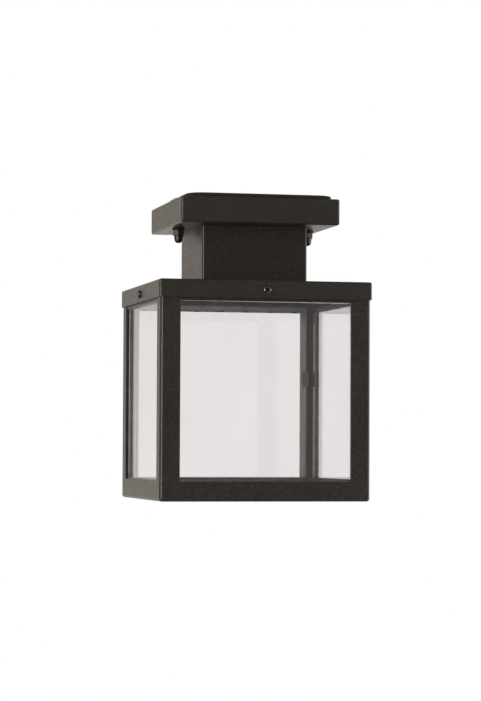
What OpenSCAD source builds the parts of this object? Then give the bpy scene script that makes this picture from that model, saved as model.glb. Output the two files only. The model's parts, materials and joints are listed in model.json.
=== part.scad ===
// Porch ceiling lantern: a square glass cage under a flat roof cap, on a square neck and ceiling canopy.
// The origin is on the ceiling, at the centre of the crossbar's top face. +Z is up and the front is -Y.

/* [Ceiling canopy] */
// Width of the square canopy
canopy_w = 120.6; // [118:0.1:124]
// Height of the canopy's side walls
canopy_h = 19.6; // [18:0.1:24]
// Width of the lip turned inwards round the top of the canopy
canopy_lip = 5; // [3:0.5:5]
// Thickness of the steel sheet in the canopy, neck and tray
sheet_t = 1.2; // [1:0.1:1.4]
// Thickness of the foam gasket that meets the ceiling
gasket_t = 2.8; // [2.4:0.1:4]
// How far the gasket's outline stays inside the canopy's outline
gasket_inset = 3.2; // [2:0.1:3.4]
// Corner radius of the gasket's outline
gasket_r = 13; // [8:1:18]

/* [Ceiling mount] */
// Length of the crossbar that is screwed to the ceiling box
crossbar_len = 110; // [109:0.5:110]
// Width of the crossbar
crossbar_w = 20; // [16:1:20]
// Thickness of the crossbar
crossbar_t = 2; // [1.5:0.1:2.4]
// Smallest distance between the screws of a ceiling box
box_pitch_min = 69.9; // [66:0.1:72]
// Largest distance between the screws of a ceiling box
box_pitch_max = 88.9; // [80:0.1:88.9]
// Width of the slots for the ceiling box's screws
box_slot_w = 4.8; // [4.4:0.1:5.4]
// Diameter of the wire hole in the middle of the crossbar
wire_hole_d = 10.4; // [8:0.1:12]
// Distance between the two studs
stud_pitch = 101; // [100:0.5:101]
// Diameter of the studs
stud_d = 4.2; // [4:0.1:5]

/* [Neck] */
// Width of the square neck tube
neck_w = 80.4; // [80:0.1:84]
// Height of the neck between canopy and roof
neck_h = 43.4; // [42:0.1:60]
// Width of the flanges turned inwards at both ends of the neck
neck_flange = 9; // [9:0.1:9.2]

/* [Roof cap] */
// Width of the square roof cap
roof_w = 160; // [160:0.1:164]
// Height of the roof's rim
roof_rim = 13.2; // [13:0.1:14]
// Thickness of the roof's steel sheet
roof_t = 0.8; // [0.7:0.05:0.9]
// Distance of the rim's seams from its corners
rim_seam_at = 3; // [2:0.5:6]
// Drop from the roof's top to the side screws
side_screw_drop = 7.2; // [7:0.1:7.4]
// Thickness of the foam gasket between roof and cage
roof_gasket_t = 1.2; // [0.8:0.1:1.3]

/* [Glass cage] */
// Drop from the roof's top to the bottom of the cage
cage_drop = 162.1; // [150:0.1:180]
// Width of the stiles and of the bottom rails, seen from outside
member_w = 14.7; // [14:0.1:15]
// How much of the top rails shows below the roof's rim
rail_show = 2.4; // [2.2:0.1:3]
// How far the top rails stand back from the stiles
rail_recess = 0.8; // [0.4:0.1:1]
// Thickness of the frame plates
frame_t = 2.5; // [2.3:0.1:2.5]
// Radius of the frame's outer corners
corner_r = 1; // [0.6:0.1:1.4]
// Gap of the seam between the front or rear frame and a side frame
seam = 0.3; // [0.2:0.05:0.5]
// Leg of the angles inside the corners
angle_leg = 6.4; // [6:0.1:6.6]
// Thickness of the corner angles
angle_t = 1; // [0.8:0.1:1.2]
// Width of the ledge under the bottom pane
ledge_w = 12; // [8:0.5:14]

/* [Panes] */
// Thickness of the glass
pane_t = 3; // [2.8:0.1:3.2]
// How far a pane laps over its frame
pane_lap = 4.8; // [4.4:0.1:4.9]
// Thickness of the sealant between pane and frame
sealant_t = 0.4; // [0.3:0.05:0.5]
// Height of a pane tab
tab_h = 12; // [8:0.5:16]
// Drop from the top of a window to the middle of its tabs
tab_drop = 52.7; // [20:0.1:100]

/* [Light] */
// Width of the light tray
tray_w = 132; // [126:1:134]
// Diameter of the LED board
board_d = 60; // [58:0.5:60]
// Number of LED chips
chip_count = 12; // [6:1:14]
// Length of the LED driver
driver_l = 46; // [45.6:0.1:46]
// Width of the LED driver
driver_w = 32; // [28:1:32]
// Height of the LED driver
driver_h = 22; // [18:1:24]

/* [Screws] */
// Diameter of the side screws
side_screw_d = 3; // [2.9:0.1:3]
// Head diameter of the side screws
side_head_d = 6.2; // [5.6:0.1:6.6]
// Length of the side screws under the head
side_screw_len = 8; // [7.8:0.1:8.2]
// Running clearance round a threaded shank
thread_gap = 0.05; // [0.03:0.01:0.08]
// Clearance between the cage and what it slides in
slide_gap = 0.3; // [0.3:0.05:0.35]

/* [Hidden] */
$fn = 48;
eps = 0.02;

// Levels, counted down from the ceiling
canopy_top = -gasket_t;
canopy_under = canopy_top - canopy_h;
canopy_floor = canopy_under + sheet_t;
roof_top = canopy_under - neck_h;
roof_under = roof_top - roof_t;
rim_bottom = roof_top - roof_rim;
screw_z = roof_top - side_screw_drop;
rail_bottom = rim_bottom - rail_show;
cage_top = roof_under - roof_gasket_t - 0.2;
cage_bottom = roof_top - cage_drop;
window_bottom = cage_bottom + member_w;
window_h = rail_bottom - window_bottom;
tray_t = 1.5;
tray_under = roof_under - tray_t;

// Half widths, counted out from the middle
rim_in = roof_w / 2 - roof_t;
cage_out = rim_in - slide_gap;
cage_w = 2 * cage_out;
cage_in = cage_out - frame_t;
window_half = cage_out - member_w;
pane_half = window_half + pane_lap;
pane_out = cage_in - sealant_t;
pane_in = pane_out - pane_t;
pane_h = window_h + 2 * pane_lap;
tab_out = cage_in - slide_gap;
neck_screw_at = neck_w / 2 - 5.4;

// Gaps and holes that several parts share
screw_gap = 0.2;
bar_gap = 0.3;
wire_bush_d = 11;
led_bush_d = 9;
small_screw_d = 2.5;
sheet_corner_r = corner_r + 0.2;

// Ceiling mount and canopy
gasket_band = 7.1;
gasket_hole_r = 6;
ground_screw_d = 3.4;
ground_x = 24;
stud_top = -0.2;
stud_reach = 7;
stud_nut_h = 3.2;
cap_nut_af = 8;
cap_nut_h = 10;
cap_nut_turn = 17;
washer_t = 1;
grommet_y = 18;

// Terminal block
block_size = [28, 17, 13];
block_y = 34;
block_pitch = 9;
block_well_d = 5;
block_wire_d = 3.6;
block_wire_z = 5.5;

// Neck and driver
neck_screw_d = 4;
weld_nut_h = 2.6;
driver_screw_d = 2.9;
ear = [6, 14, 2];
led_wire_y = -22;

// Light tray and what hangs under it
tray_tab_t = 1;
tray_tab_w = 18;
tray_tab_low = screw_z - 3;
nut_af = 5.5;
nut_t = 2.4;
board_t = 1.6;
board_under = tray_under - board_t;
board_screw_r = 26;
board_hole_d = 12.6;
chip = [3.5, 2.8, 0.7];
chip_ring_r = 13.5;
lens_gasket_t = 1;
lens_gasket_w = 3.5;
lens_flange_r = 36.5;
lens_flange_top = tray_under - lens_gasket_t;
lens_wall_r = 32.5;
lens_t = 1.5;
lens_drop = 5.8;
ring_out_r = 41;
ring_screw_r = 38.2;
ring_t = 1.2;
ring_under = lens_flange_top - lens_t - ring_t;

// Bottom of the cage
ledge_t = 1.5;
ledge_top = cage_bottom + 0.4 + ledge_t;
bottom_pane_half = cage_in - 2.4;

// Leads: each list is a stretch of a route, counted up from the canopy's floor, the roof or the ceiling
lead_sides = 8;
lead_d = 1.9;
line_in_canopy = [[-5, 25.5, 8.3], [-5, 21, 8.1], [-3, 18.6, 5.3], [-2.2, 18, 0.3], [-2.2, 18, -5.7]];
line_in_neck = [[-6, 17.5, 33.8], [-16, 14, 27.8], [-25, 8, 22.8], [-28.5, 4, 17.8], [-28.3, 3.4, 13.8],
    [-26.5, 3, 11], [-23.1, 3, 10.8]];
neutral_in_canopy = [[5, 25.5, 8.3], [5, 21, 8.1], [3, 18.6, 5.3], [2.2, 18, 0.3], [2.2, 18, -5.7]];
neutral_in_neck = [[-2, 13, 34.8], [-12, 6, 29.8], [-22, -2, 23.8], [-28.5, -4, 17.8], [-28.3, -3.4, 13.8],
    [-26.5, -3, 11], [-23.1, -3, 10.8]];
plus_in_neck = [[23, 3, 10.8], [25.2, 3, 10.8], [27.8, 1, 10.2], [28.6, -3, 9.2], [28.4, -9, 8],
    [27.2, -14.5, 7], [23.5, -18.6, 6.2], [17, -20.4, 5.8], [10, -21, 5.8], [5.5, -21.5, 5.4],
    [2.8, -21.9, 4], [1.7, -22, 1.8], [1.6, -22, -0.7], [1.6, -22, -3.6]];
minus_in_neck = [[23, -3, 13.8], [25, -3.4, 13.6], [26.6, -6, 12.8], [27, -11, 11.3], [26, -15.5, 10],
    [22, -19, 9.2], [15, -19, 8.8], [8, -19, 8.8], [3, -19.2, 8.6], [-0.2, -20, 7.6],
    [-1.5, -21.3, 5.3], [-1.6, -22, 2.3], [-1.6, -22, -0.7], [-1.6, -22, -3.6]];
earth_at_block = [[0, 25.5, 8.3], [0, 22, 8.3]];
earth_at_bar = [[3, 17, -10.8], [8, 11, -8.8], [12.5, 5.5, -6.6], [15.5, 2, -4.6], [18, 0.4, -3.5],
    [20.4, 0, -3.3]];

// Every node, one sub-part each

// --- Shapes that repeat ---

// A square outline with true round corners, centred
module rounded_square(w, r) {
    square([w - 2 * r, w], center = true);
    square([w, w - 2 * r], center = true);
    for (sx = [-1, 1])
        for (sy = [-1, 1])
            translate([sx * (w / 2 - r), sy * (w / 2 - r)])
                circle(r);
}

// A flat ring between two square outlines, standing on z = 0
module square_ring(outer, inner, h) {
    linear_extrude(h)
        difference() {
            square(outer, center = true);
            square(inner, center = true);
        }
}

// A plain box centred in x and y, standing on z = 0
module block(size) {
    translate([-size.x / 2, -size.y / 2, 0])
        cube(size);
}

// Children once in each of four corners, at distance d along x and y
module at_corners(d) {
    for (sx = [-1, 1])
        for (sy = [-1, 1])
            translate([sx * d, sy * d, 0])
                children();
}

// Children once on each of the four sides; they are drawn on the front, facing -Y
module on_sides() {
    for (turn = [0 : 90 : 270])
        rotate(turn)
            children();
}

// A screw pointing down: a round-edged pan head on z = 0 with a cross recess, and the shank below it
module pan_screw(d, head_d, head_h, len) {
    edge_r = head_h * 0.7;
    slot_w = head_d / 7;
    slot_l = head_d * 0.6;
    middle_d = head_d * 0.28;
    recess_low = head_h * 0.4;
    difference() {
        rotate_extrude()
            intersection() {
                square([head_d / 2, head_h]);
                union() {
                    square([head_d / 2 - edge_r, head_h]);
                    square([head_d / 2, head_h - edge_r]);
                    translate([head_d / 2 - edge_r, head_h - edge_r])
                        circle(edge_r);
                }
            }
        for (turn = [0, 90])
            rotate(turn)
                translate([0, 0, recess_low])
                    block([slot_l, slot_w, head_h]);
        translate([0, 0, recess_low])
            cylinder(h = head_h, d = middle_d);
    }
    translate([0, 0, -len])
        cylinder(h = len + eps, d = d);
}

// A hexagon nut standing on z = 0
module hex_nut(af, h, bore_d) {
    difference() {
        cylinder(h = h, d = af / cos(30), $fn = 6);
        translate([0, 0, -eps])
            cylinder(h = h + 2 * eps, d = bore_d);
    }
}

// A bored disc standing on z = 0
module washer(od, id, h) {
    difference() {
        cylinder(h = h, d = od);
        translate([0, 0, -eps])
            cylinder(h = h + 2 * eps, d = id);
    }
}

// The points of a stretch, counted up from a level
function from_level(stretch, level) = [for (p = stretch) p + [0, 0, level]];

// A wire of lead_d swept along a route of points
module lead(route) {
    n = len(route);
    slant = [-0.5, 0.7, 0.5];
    heading = [for (i = [0 : n - 1]) route[min(i + 1, n - 1)] - route[max(i - 1, 0)]];
    rings = [for (i = [0 : n - 1])
        let (
            along = heading[i] / norm(heading[i]),
            aside = cross(along, slant),
            u = aside / norm(aside),
            v = cross(along, u)
        )
        for (k = [0 : lead_sides - 1])
            let (a = 360 * k / lead_sides)
            route[i] + lead_d / 2 * (cos(a) * u + sin(a) * v)];
    sides = [for (i = [0 : n - 2])
        for (k = [0 : lead_sides - 1])
            let (
                here = i * lead_sides,
                next = (k + 1) % lead_sides
            )
            each [[here + k, here + next, here + lead_sides + next],
                [here + k, here + lead_sides + next, here + lead_sides + k]]];
    first = [for (k = [lead_sides - 1 : -1 : 0]) k];
    last = [for (k = [0 : lead_sides - 1]) (n - 1) * lead_sides + k];
    polyhedron(points = rings, faces = concat([first], [last], sides), convexity = 4);
}

// --- Ceiling mount ---

// Foam ring between canopy and ceiling, notched where the crossbar ends pass
module ceiling_gasket() {
    outer = canopy_w - 2 * gasket_inset;
    color("#1b1a18")
        translate([0, 0, canopy_top])
            linear_extrude(gasket_t)
                difference() {
                    rounded_square(outer, gasket_r);
                    rounded_square(outer - 2 * gasket_band, gasket_hole_r);
                    square([crossbar_len + 2 * bar_gap, crossbar_w + 2 * bar_gap], center = true);
                }
}

// Steel strap with a slot for each ceiling box screw, a wire hole and tapped holes
module mounting_crossbar() {
    slot_mid = (box_pitch_min + box_pitch_max) / 4;
    slot_run = (box_pitch_max - box_pitch_min) / 4;
    color("#b9b7ac")
        translate([0, 0, -crossbar_t])
            difference() {
                linear_extrude(crossbar_t)
                    difference() {
                        square([crossbar_len, crossbar_w], center = true);
                        for (side = [-1, 1])
                            translate([side * slot_mid, 0]) {
                                square([2 * slot_run, box_slot_w], center = true);
                                for (end = [-1, 1])
                                    translate([end * slot_run, 0])
                                        circle(d = box_slot_w);
                            }
                    }
                translate([0, 0, -eps])
                    cylinder(h = crossbar_t + 2 * eps, d = wire_hole_d);
                for (side = [-1, 1])
                    translate([side * stud_pitch / 2, 0, -eps])
                        cylinder(h = crossbar_t + 2 * eps, d = stud_d);
                translate([ground_x, 0, -eps])
                    cylinder(h = crossbar_t + 2 * eps, d = ground_screw_d);
            }
}

// Two threaded studs that hang from the crossbar through the canopy
module canopy_studs() {
    stud_low = canopy_under - washer_t - stud_reach;
    color("#a8a69c")
        for (side = [-1, 1])
            translate([side * stud_pitch / 2, 0, stud_low])
                cylinder(h = stud_top - stud_low, d = stud_d);
}

// Lock nuts that hold the studs in the crossbar
module stud_nuts() {
    color("#b9b7ac")
        for (side = [-1, 1])
            translate([side * stud_pitch / 2, 0, -crossbar_t - stud_nut_h])
                hex_nut(cap_nut_af, stud_nut_h, stud_d);
}

// Green earth screw under the crossbar
module ground_screw() {
    color("#2f7a43")
        translate([ground_x, 0, -crossbar_t])
            rotate([180, 0, 0])
                pan_screw(d = ground_screw_d, head_d = 7, head_h = 2, len = 1.8);
}

// --- Canopy ---

// Square pan, open at the top inside its lip
module canopy() {
    inner = canopy_w - 2 * sheet_t;
    color("#35302b")
        difference() {
            translate([0, 0, canopy_under])
                linear_extrude(canopy_h)
                    rounded_square(canopy_w, sheet_corner_r);
            translate([0, 0, canopy_floor])
                linear_extrude(canopy_h - 2 * sheet_t)
                    square(inner, center = true);
            translate([0, 0, canopy_top - sheet_t - eps])
                linear_extrude(sheet_t + 2 * eps)
                    square(canopy_w - 2 * canopy_lip, center = true);
            for (side = [-1, 1])
                translate([side * stud_pitch / 2, 0, canopy_under - eps])
                    cylinder(h = sheet_t + 2 * eps, d = stud_d + 2 * bar_gap);
            at_corners(neck_screw_at)
                translate([0, 0, canopy_under - eps])
                    cylinder(h = sheet_t + 2 * eps, d = neck_screw_d + 2 * screw_gap);
            translate([0, grommet_y, canopy_under - eps])
                cylinder(h = sheet_t + 2 * eps, d = wire_bush_d);
        }
}

// Sealing washers between the canopy and its cap nuts
module nut_washers() {
    color("#23211e")
        for (side = [-1, 1])
            translate([side * stud_pitch / 2, 0, canopy_under - washer_t])
                washer(od = 9.6, id = stud_d + 2 * screw_gap, h = washer_t);
}

// One domed nut, hanging from z = 0: hexagon base, tapered barrel and blind threaded bore
module cap_nut() {
    hex_h = 4.4;
    barrel_r = 3.5;
    tip_r = 3;
    dome_r = 2.4;
    crown_t = 2.2;
    color("#2a2723")
        difference() {
            union() {
                translate([0, 0, -hex_h])
                    rotate(cap_nut_turn)
                        cylinder(h = hex_h, d = cap_nut_af / cos(30), $fn = 6);
                rotate_extrude()
                    difference() {
                        union() {
                            polygon([[0, 0], [barrel_r, 0], [tip_r, dome_r - cap_nut_h],
                                [0, dome_r - cap_nut_h]]);
                            translate([0, -cap_nut_h])
                                square([tip_r - dome_r, dome_r + eps]);
                            translate([tip_r - dome_r, dome_r - cap_nut_h])
                                circle(dome_r);
                        }
                        translate([-2 * dome_r, -cap_nut_h - eps])
                            square([2 * dome_r, cap_nut_h + 2 * eps]);
                    }
            }
            translate([0, 0, crown_t - cap_nut_h])
                cylinder(h = cap_nut_h, d = stud_d + 2 * thread_gap);
        }
}

module cap_nut_left() {
    translate([-stud_pitch / 2, 0, canopy_under - washer_t])
        cap_nut();
}

module cap_nut_right() {
    translate([stud_pitch / 2, 0, canopy_under - washer_t])
        cap_nut();
}

// --- Wiring in the canopy ---

// Three-pole block that takes the house wires at the back and the leads at the front
module terminal_block() {
    color("#e6e3da")
        translate([0, block_y, canopy_floor])
            difference() {
                block(block_size);
                for (pole = [-1, 0, 1]) {
                    translate([pole * block_pitch, 0, block_wire_z])
                        cylinder(h = block_size.z, d = block_well_d);
                    translate([pole * block_pitch, block_size.y / 2 + 1, block_wire_z])
                        rotate([90, 0, 0])
                            cylinder(h = block_size.y / 2 + 3, d = block_wire_d);
                }
            }
}

// Clamping screws sunk in the terminal block, just clear of the wire holes
module terminal_screws() {
    low = block_wire_z + block_wire_d / 2;
    len = 3.6;
    slot = [5, 0.8, 1];
    color("#c9b676")
        for (pole = [-1, 0, 1])
            translate([pole * block_pitch, block_y, canopy_floor + low])
                difference() {
                    cylinder(h = len, d = 4.4);
                    translate([0, 0, len - slot.z])
                        block([slot.x, slot.y, slot.z + eps]);
                }
}

// Rubber bushes where leads pass through the canopy floor and through roof and tray
module wire_grommets() {
    color("#1b1a18") {
        translate([0, grommet_y, canopy_under])
            grommet(wire_bush_d, sheet_t);
        translate([0, led_wire_y, tray_under])
            grommet(led_bush_d, roof_t + tray_t);
    }
}

// A grooved bush in a plate of thickness t, whose underside is z = 0
module grommet(hole_d, t) {
    wall = 1.2;
    flange_t = 1;
    flange_w = 2.6;
    rotate_extrude()
        translate([hole_d / 2 - wall, 0]) {
            translate([0, -flange_t])
                square([wall, t + 2 * flange_t]);
            for (level = [-flange_t, t])
                translate([0, level])
                    square([flange_w, flange_t]);
        }
}

// Line lead, from the terminal block to the driver
module line_lead() {
    color("#6d4a33")
        lead(concat(from_level(line_in_canopy, canopy_floor), from_level(line_in_neck, roof_top)));
}

// Neutral lead beside it
module neutral_lead() {
    color("#3c5f94")
        lead(concat(from_level(neutral_in_canopy, canopy_floor), from_level(neutral_in_neck, roof_top)));
}

// Green and yellow lead from the terminal block to the ground screw
module earth_lead() {
    color("#8fa83a")
        lead(concat(from_level(earth_at_block, canopy_floor), earth_at_bar));
}

// --- Neck ---

// Square tube with a flange turned inwards at both ends
module neck_tube() {
    color("#35302b")
        difference() {
            translate([0, 0, roof_top])
                linear_extrude(neck_h)
                    rounded_square(neck_w, sheet_corner_r + 0.2);
            translate([0, 0, roof_top + sheet_t])
                linear_extrude(neck_h - 2 * sheet_t)
                    square(neck_w - 2 * sheet_t, center = true);
            translate([0, 0, roof_top - eps])
                linear_extrude(neck_h + 2 * eps)
                    square(neck_w - 2 * neck_flange, center = true);
            at_corners(neck_screw_at)
                translate([0, 0, roof_top - eps])
                    cylinder(h = neck_h + 2 * eps, d = neck_screw_d + 2 * screw_gap);
        }
}

// Screws through the canopy floor into the neck's top flange
module neck_screws() {
    color("#a8a69c")
        at_corners(neck_screw_at)
            translate([0, 0, canopy_floor])
                pan_screw(d = neck_screw_d, head_d = 7.4, head_h = 2.2, len = 5.4);
}

// Screws through tray and roof into the neck's bottom flange
module roof_screws() {
    color("#2a2723")
        at_corners(neck_screw_at)
            translate([0, 0, tray_under])
                rotate([180, 0, 0])
                    pan_screw(d = neck_screw_d, head_d = 7.4, head_h = 2.2, len = 6.4);
}

// Nuts welded to the neck's two flanges
module weld_nuts() {
    color("#b9b7ac")
        at_corners(neck_screw_at) {
            for (level = [canopy_under - sheet_t - weld_nut_h, roof_top + sheet_t])
                translate([0, 0, level])
                    hex_nut(af = 7, h = weld_nut_h, bore_d = neck_screw_d);
        }
}

// --- Driver ---

// Sealed LED driver that stands on the roof inside the neck, with an ear at each end
module led_driver() {
    color("#dcdad2")
        translate([0, 0, roof_top])
            difference() {
                union() {
                    block([driver_l, driver_w, driver_h]);
                    for (side = [-1, 1])
                        translate([side * (driver_l / 2 + ear.x / 2), 0, 0])
                            block([ear.x + eps, ear.y, ear.z]);
                }
                for (side = [-1, 1])
                    translate([side * (driver_l / 2 + ear.x / 2), 0, -eps])
                        cylinder(h = ear.z + 2 * eps, d = driver_screw_d + 2 * screw_gap);
            }
}

// Screws through the driver's ears into roof and tray
module driver_screws() {
    len = ear.z + roof_t + tray_t - 0.2;
    color("#a8a69c")
        for (side = [-1, 1])
            translate([side * (driver_l / 2 + ear.x / 2), 0, roof_top + ear.z])
                pan_screw(d = driver_screw_d, head_d = 5.4, head_h = 1.8, len = len);
}

// Plus lead, from the driver through roof and tray to the LED board
module plus_lead() {
    color("#a8392f")
        lead(from_level(plus_in_neck, roof_top));
}

// Minus lead beside it
module minus_lead() {
    color("#23211e")
        lead(from_level(minus_in_neck, roof_top));
}

// --- Roof ---

// Holes that roof and tray share, cut from z = low over a height h
module roof_holes(low, h) {
    translate([0, 0, low - eps]) {
        at_corners(neck_screw_at)
            cylinder(h = h + 2 * eps, d = neck_screw_d + 2 * screw_gap);
        for (side = [-1, 1])
            translate([side * (driver_l / 2 + ear.x / 2), 0, 0])
                cylinder(h = h + 2 * eps, d = driver_screw_d);
        translate([0, led_wire_y, 0])
            cylinder(h = h + 2 * eps, d = led_bush_d);
    }
}

// Square cap with a turned-down rim, an open seam beside each corner and four screw holes
module roof_cap() {
    seam_w = 0.4;
    seam_stop = 0.4;
    seam_from = roof_w / 2 - rim_seam_at;
    color("#35302b")
        difference() {
            translate([0, 0, rim_bottom])
                linear_extrude(roof_rim)
                    rounded_square(roof_w, sheet_corner_r);
            translate([0, 0, rim_bottom - eps])
                linear_extrude(roof_rim - roof_t + eps)
                    rounded_square(2 * rim_in, sheet_corner_r - 0.7);
            roof_holes(roof_under, roof_t);
            for (sx = [-1, 1])
                for (sy = [-1, 1])
                    translate([sx * (rim_in + roof_t / 2), sy * seam_from, rim_bottom - eps])
                        block([roof_t + 2 * screw_gap, seam_w, roof_rim - roof_t - seam_stop]);
            on_sides()
                translate([0, 1 - rim_in, screw_z])
                    rotate([90, 0, 0])
                        cylinder(h = roof_t + 2, d = side_screw_d + 2 * screw_gap);
        }
}

// Foam ring under the roof that the cage's top edge meets
module roof_gasket() {
    outer_half = rim_in - 0.6;
    inner_half = rim_in - 3;
    color("#1b1a18")
        translate([0, 0, roof_under - roof_gasket_t])
            square_ring(2 * outer_half, 2 * inner_half, roof_gasket_t);
}

// Plate under the roof that carries the light, with a tab turned down on each side
module light_tray() {
    reach = tab_out;
    color("#3a3530")
        difference() {
            union() {
                translate([0, 0, tray_under])
                    block([tray_w, tray_w, tray_t]);
                on_sides() {
                    translate([0, -reach / 2, tray_under])
                        block([tray_tab_w, reach, tray_t]);
                    translate([0, tray_tab_t / 2 - reach, tray_tab_low])
                        block([tray_tab_w, tray_tab_t, tray_under - tray_tab_low + eps]);
                }
            }
            roof_holes(tray_under, tray_t);
            for (turn = [45 : 90 : 315])
                rotate(turn)
                    translate([ring_screw_r, 0, tray_under - eps])
                        cylinder(h = tray_t + 2 * eps, d = small_screw_d);
            for (turn = [0 : 120 : 240])
                rotate(turn + 90)
                    translate([board_screw_r, 0, tray_under - eps])
                        cylinder(h = tray_t + 2 * eps, d = small_screw_d);
            on_sides()
                translate([0, 2 - reach, screw_z])
                    rotate([90, 0, 0])
                        cylinder(h = 3, d = side_screw_d + 2 * thread_gap);
        }
}

// Nuts welded inside the tray's tabs, one for each side screw
module side_nuts() {
    color("#b9b7ac")
        on_sides()
            translate([0, tray_tab_t - tab_out, screw_z])
                rotate([-90, 0, 0])
                    hex_nut(nut_af, nut_t, side_screw_d + 2 * thread_gap);
}

// One side screw on the front, its head against the rim
module side_screw() {
    color("#1d1b19")
        translate([0, -roof_w / 2, screw_z])
            rotate([90, 0, 0])
                pan_screw(d = side_screw_d, head_d = side_head_d, head_h = 2.2, len = side_screw_len);
}

module side_screw_front() {
    side_screw();
}

module side_screw_right() {
    rotate(90)
        side_screw();
}

module side_screw_rear() {
    rotate(180)
        side_screw();
}

module side_screw_left() {
    rotate(270)
        side_screw();
}

// --- Light ---

// Round aluminium board that carries the LED chips, held by three screws
module led_board() {
    color("#f0efea")
        translate([0, 0, board_under])
            difference() {
                cylinder(h = board_t, d = board_d);
                for (turn = [0 : 120 : 240])
                    rotate(turn + 90)
                        translate([board_screw_r, 0, -eps])
                            cylinder(h = board_t + 2 * eps, d = small_screw_d + 2 * screw_gap);
                translate([0, led_wire_y, -eps])
                    cylinder(h = board_t + 2 * eps, d = board_hole_d);
            }
}

// LED chips in a ring under the board
module led_chips() {
    color("#e8c95a")
        for (i = [0 : chip_count - 1])
            rotate(360 * (i + 0.5) / chip_count)
                translate([chip_ring_r, 0, board_under - chip.z])
                    block(chip);
}

// Screws that hold the board to the tray
module board_screws() {
    color("#b9b7ac")
        for (turn = [0 : 120 : 240])
            rotate(turn + 90)
                translate([board_screw_r, 0, board_under])
                    rotate([180, 0, 0])
                        pan_screw(d = small_screw_d, head_d = 4.8, head_h = 1.3, len = board_t + 1.2);
}

// Soft ring between tray and lens
module lens_gasket() {
    color("#6f6d66")
        translate([0, 0, lens_flange_top])
            washer(2 * lens_flange_r, 2 * (lens_flange_r - lens_gasket_w), lens_gasket_t);
}

// Opal lens: a shallow dish with a flange
module led_lens() {
    color("#eeece4", 0.85)
        difference() {
            union() {
                translate([0, 0, lens_flange_top - lens_t])
                    cylinder(h = lens_t, r = lens_flange_r);
                translate([0, 0, tray_under - lens_drop])
                    cylinder(h = lens_drop - lens_gasket_t, r = lens_wall_r);
            }
            translate([0, 0, tray_under - lens_drop + lens_t])
                cylinder(h = lens_drop, r = lens_wall_r - lens_t);
        }
}

// Metal ring that clamps the lens to the tray
module lens_ring() {
    color("#35302b")
        translate([0, 0, ring_under])
            difference() {
                cylinder(h = tray_under - ring_under, r = ring_out_r);
                translate([0, 0, ring_t])
                    cylinder(h = tray_under - ring_under, r = ring_out_r - ring_t);
                translate([0, 0, -eps])
                    cylinder(h = ring_t + 2 * eps, r = lens_wall_r + 2 * screw_gap);
                for (turn = [45 : 90 : 315])
                    rotate(turn)
                        translate([ring_screw_r, 0, -eps])
                            cylinder(h = ring_t + 2 * eps, d = small_screw_d + screw_gap);
            }
}

// Screws of the lens ring
module ring_screws() {
    len = tray_under - ring_under + 1.2;
    color("#2a2723")
        for (turn = [45 : 90 : 315])
            rotate(turn)
                translate([ring_screw_r, 0, ring_under])
                    rotate([180, 0, 0])
                        pan_screw(d = small_screw_d, head_d = 4.6, head_h = 1.4, len = len);
}

// --- Glass cage ---

// Window opening and top rail recess of a frame whose outer face is y = 0, facing -Y
module frame_cuts() {
    notch_r = side_screw_d / 2 + 2 * screw_gap;
    translate([0, -eps, window_bottom])
        translate([-window_half, 0, 0])
            cube([2 * window_half, frame_t + 2 * eps, window_h]);
    translate([-window_half, -eps, rail_bottom - eps])
        cube([2 * window_half, rail_recess + eps, cage_top - rail_bottom + 2 * eps]);
    translate([0, frame_t + 1, screw_z])
        rotate([90, 0, 0])
            cylinder(h = frame_t + 2, r = notch_r);
    translate([-notch_r, -1, screw_z])
        cube([2 * notch_r, frame_t + 2, cage_top - screw_z + eps]);
}

// Front or rear frame: full width, with rounded outer corners
module wide_frame() {
    color("#35302b")
        translate([0, -cage_out, 0])
            difference() {
                translate([0, 0, cage_bottom])
                    linear_extrude(cage_top - cage_bottom) {
                        translate([-cage_out, corner_r])
                            square([cage_w, frame_t - corner_r]);
                        translate([corner_r - cage_out, 0])
                            square([cage_w - 2 * corner_r, frame_t]);
                        for (side = [-1, 1])
                            translate([side * (cage_out - corner_r), corner_r])
                                circle(corner_r);
                    }
                frame_cuts();
            }
}

// Left or right frame: fits between the front and rear frames with a seam
module narrow_frame() {
    half = cage_out - frame_t - seam;
    color("#35302b")
        translate([0, -cage_out, 0])
            difference() {
                translate([-half, 0, cage_bottom])
                    cube([2 * half, frame_t, cage_top - cage_bottom]);
                frame_cuts();
            }
}

module front_frame() {
    wide_frame();
}

module rear_frame() {
    rotate(180)
        wide_frame();
}

module left_frame() {
    rotate(270)
        narrow_frame();
}

module right_frame() {
    rotate(90)
        narrow_frame();
}

// Steel angles that join the frames inside each corner
module corner_angles() {
    top = cage_top - 1;
    color("#3a3530")
        for (turn = [0 : 90 : 270])
            rotate(turn)
                translate([cage_in, cage_in, ledge_top])
                    linear_extrude(top - ledge_top) {
                        translate([-angle_leg, -angle_t])
                            square([angle_leg, angle_t]);
                        translate([-angle_t, -angle_leg])
                            square([angle_t, angle_leg]);
                    }
}

// Square ledge inside the bottom rails
module bottom_ring() {
    color("#35302b")
        translate([0, 0, ledge_top - ledge_t])
            square_ring(2 * cage_in, 2 * (cage_in - ledge_w), ledge_t);
}

// One clear pane behind the front window
module side_pane() {
    color("#cfd6d2", 0.3)
        translate([-pane_half, -pane_out, window_bottom - pane_lap])
            cube([2 * pane_half, pane_t, pane_h]);
}

module front_pane() {
    side_pane();
}

module right_pane() {
    rotate(90)
        side_pane();
}

module rear_pane() {
    rotate(180)
        side_pane();
}

module left_pane() {
    rotate(270)
        side_pane();
}

// Clear pane that lies on the ledge and closes the cage
module bottom_pane() {
    color("#cfd6d2", 0.3)
        translate([0, 0, ledge_top + sealant_t])
            block([2 * bottom_pane_half, 2 * bottom_pane_half, pane_t]);
}

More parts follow.
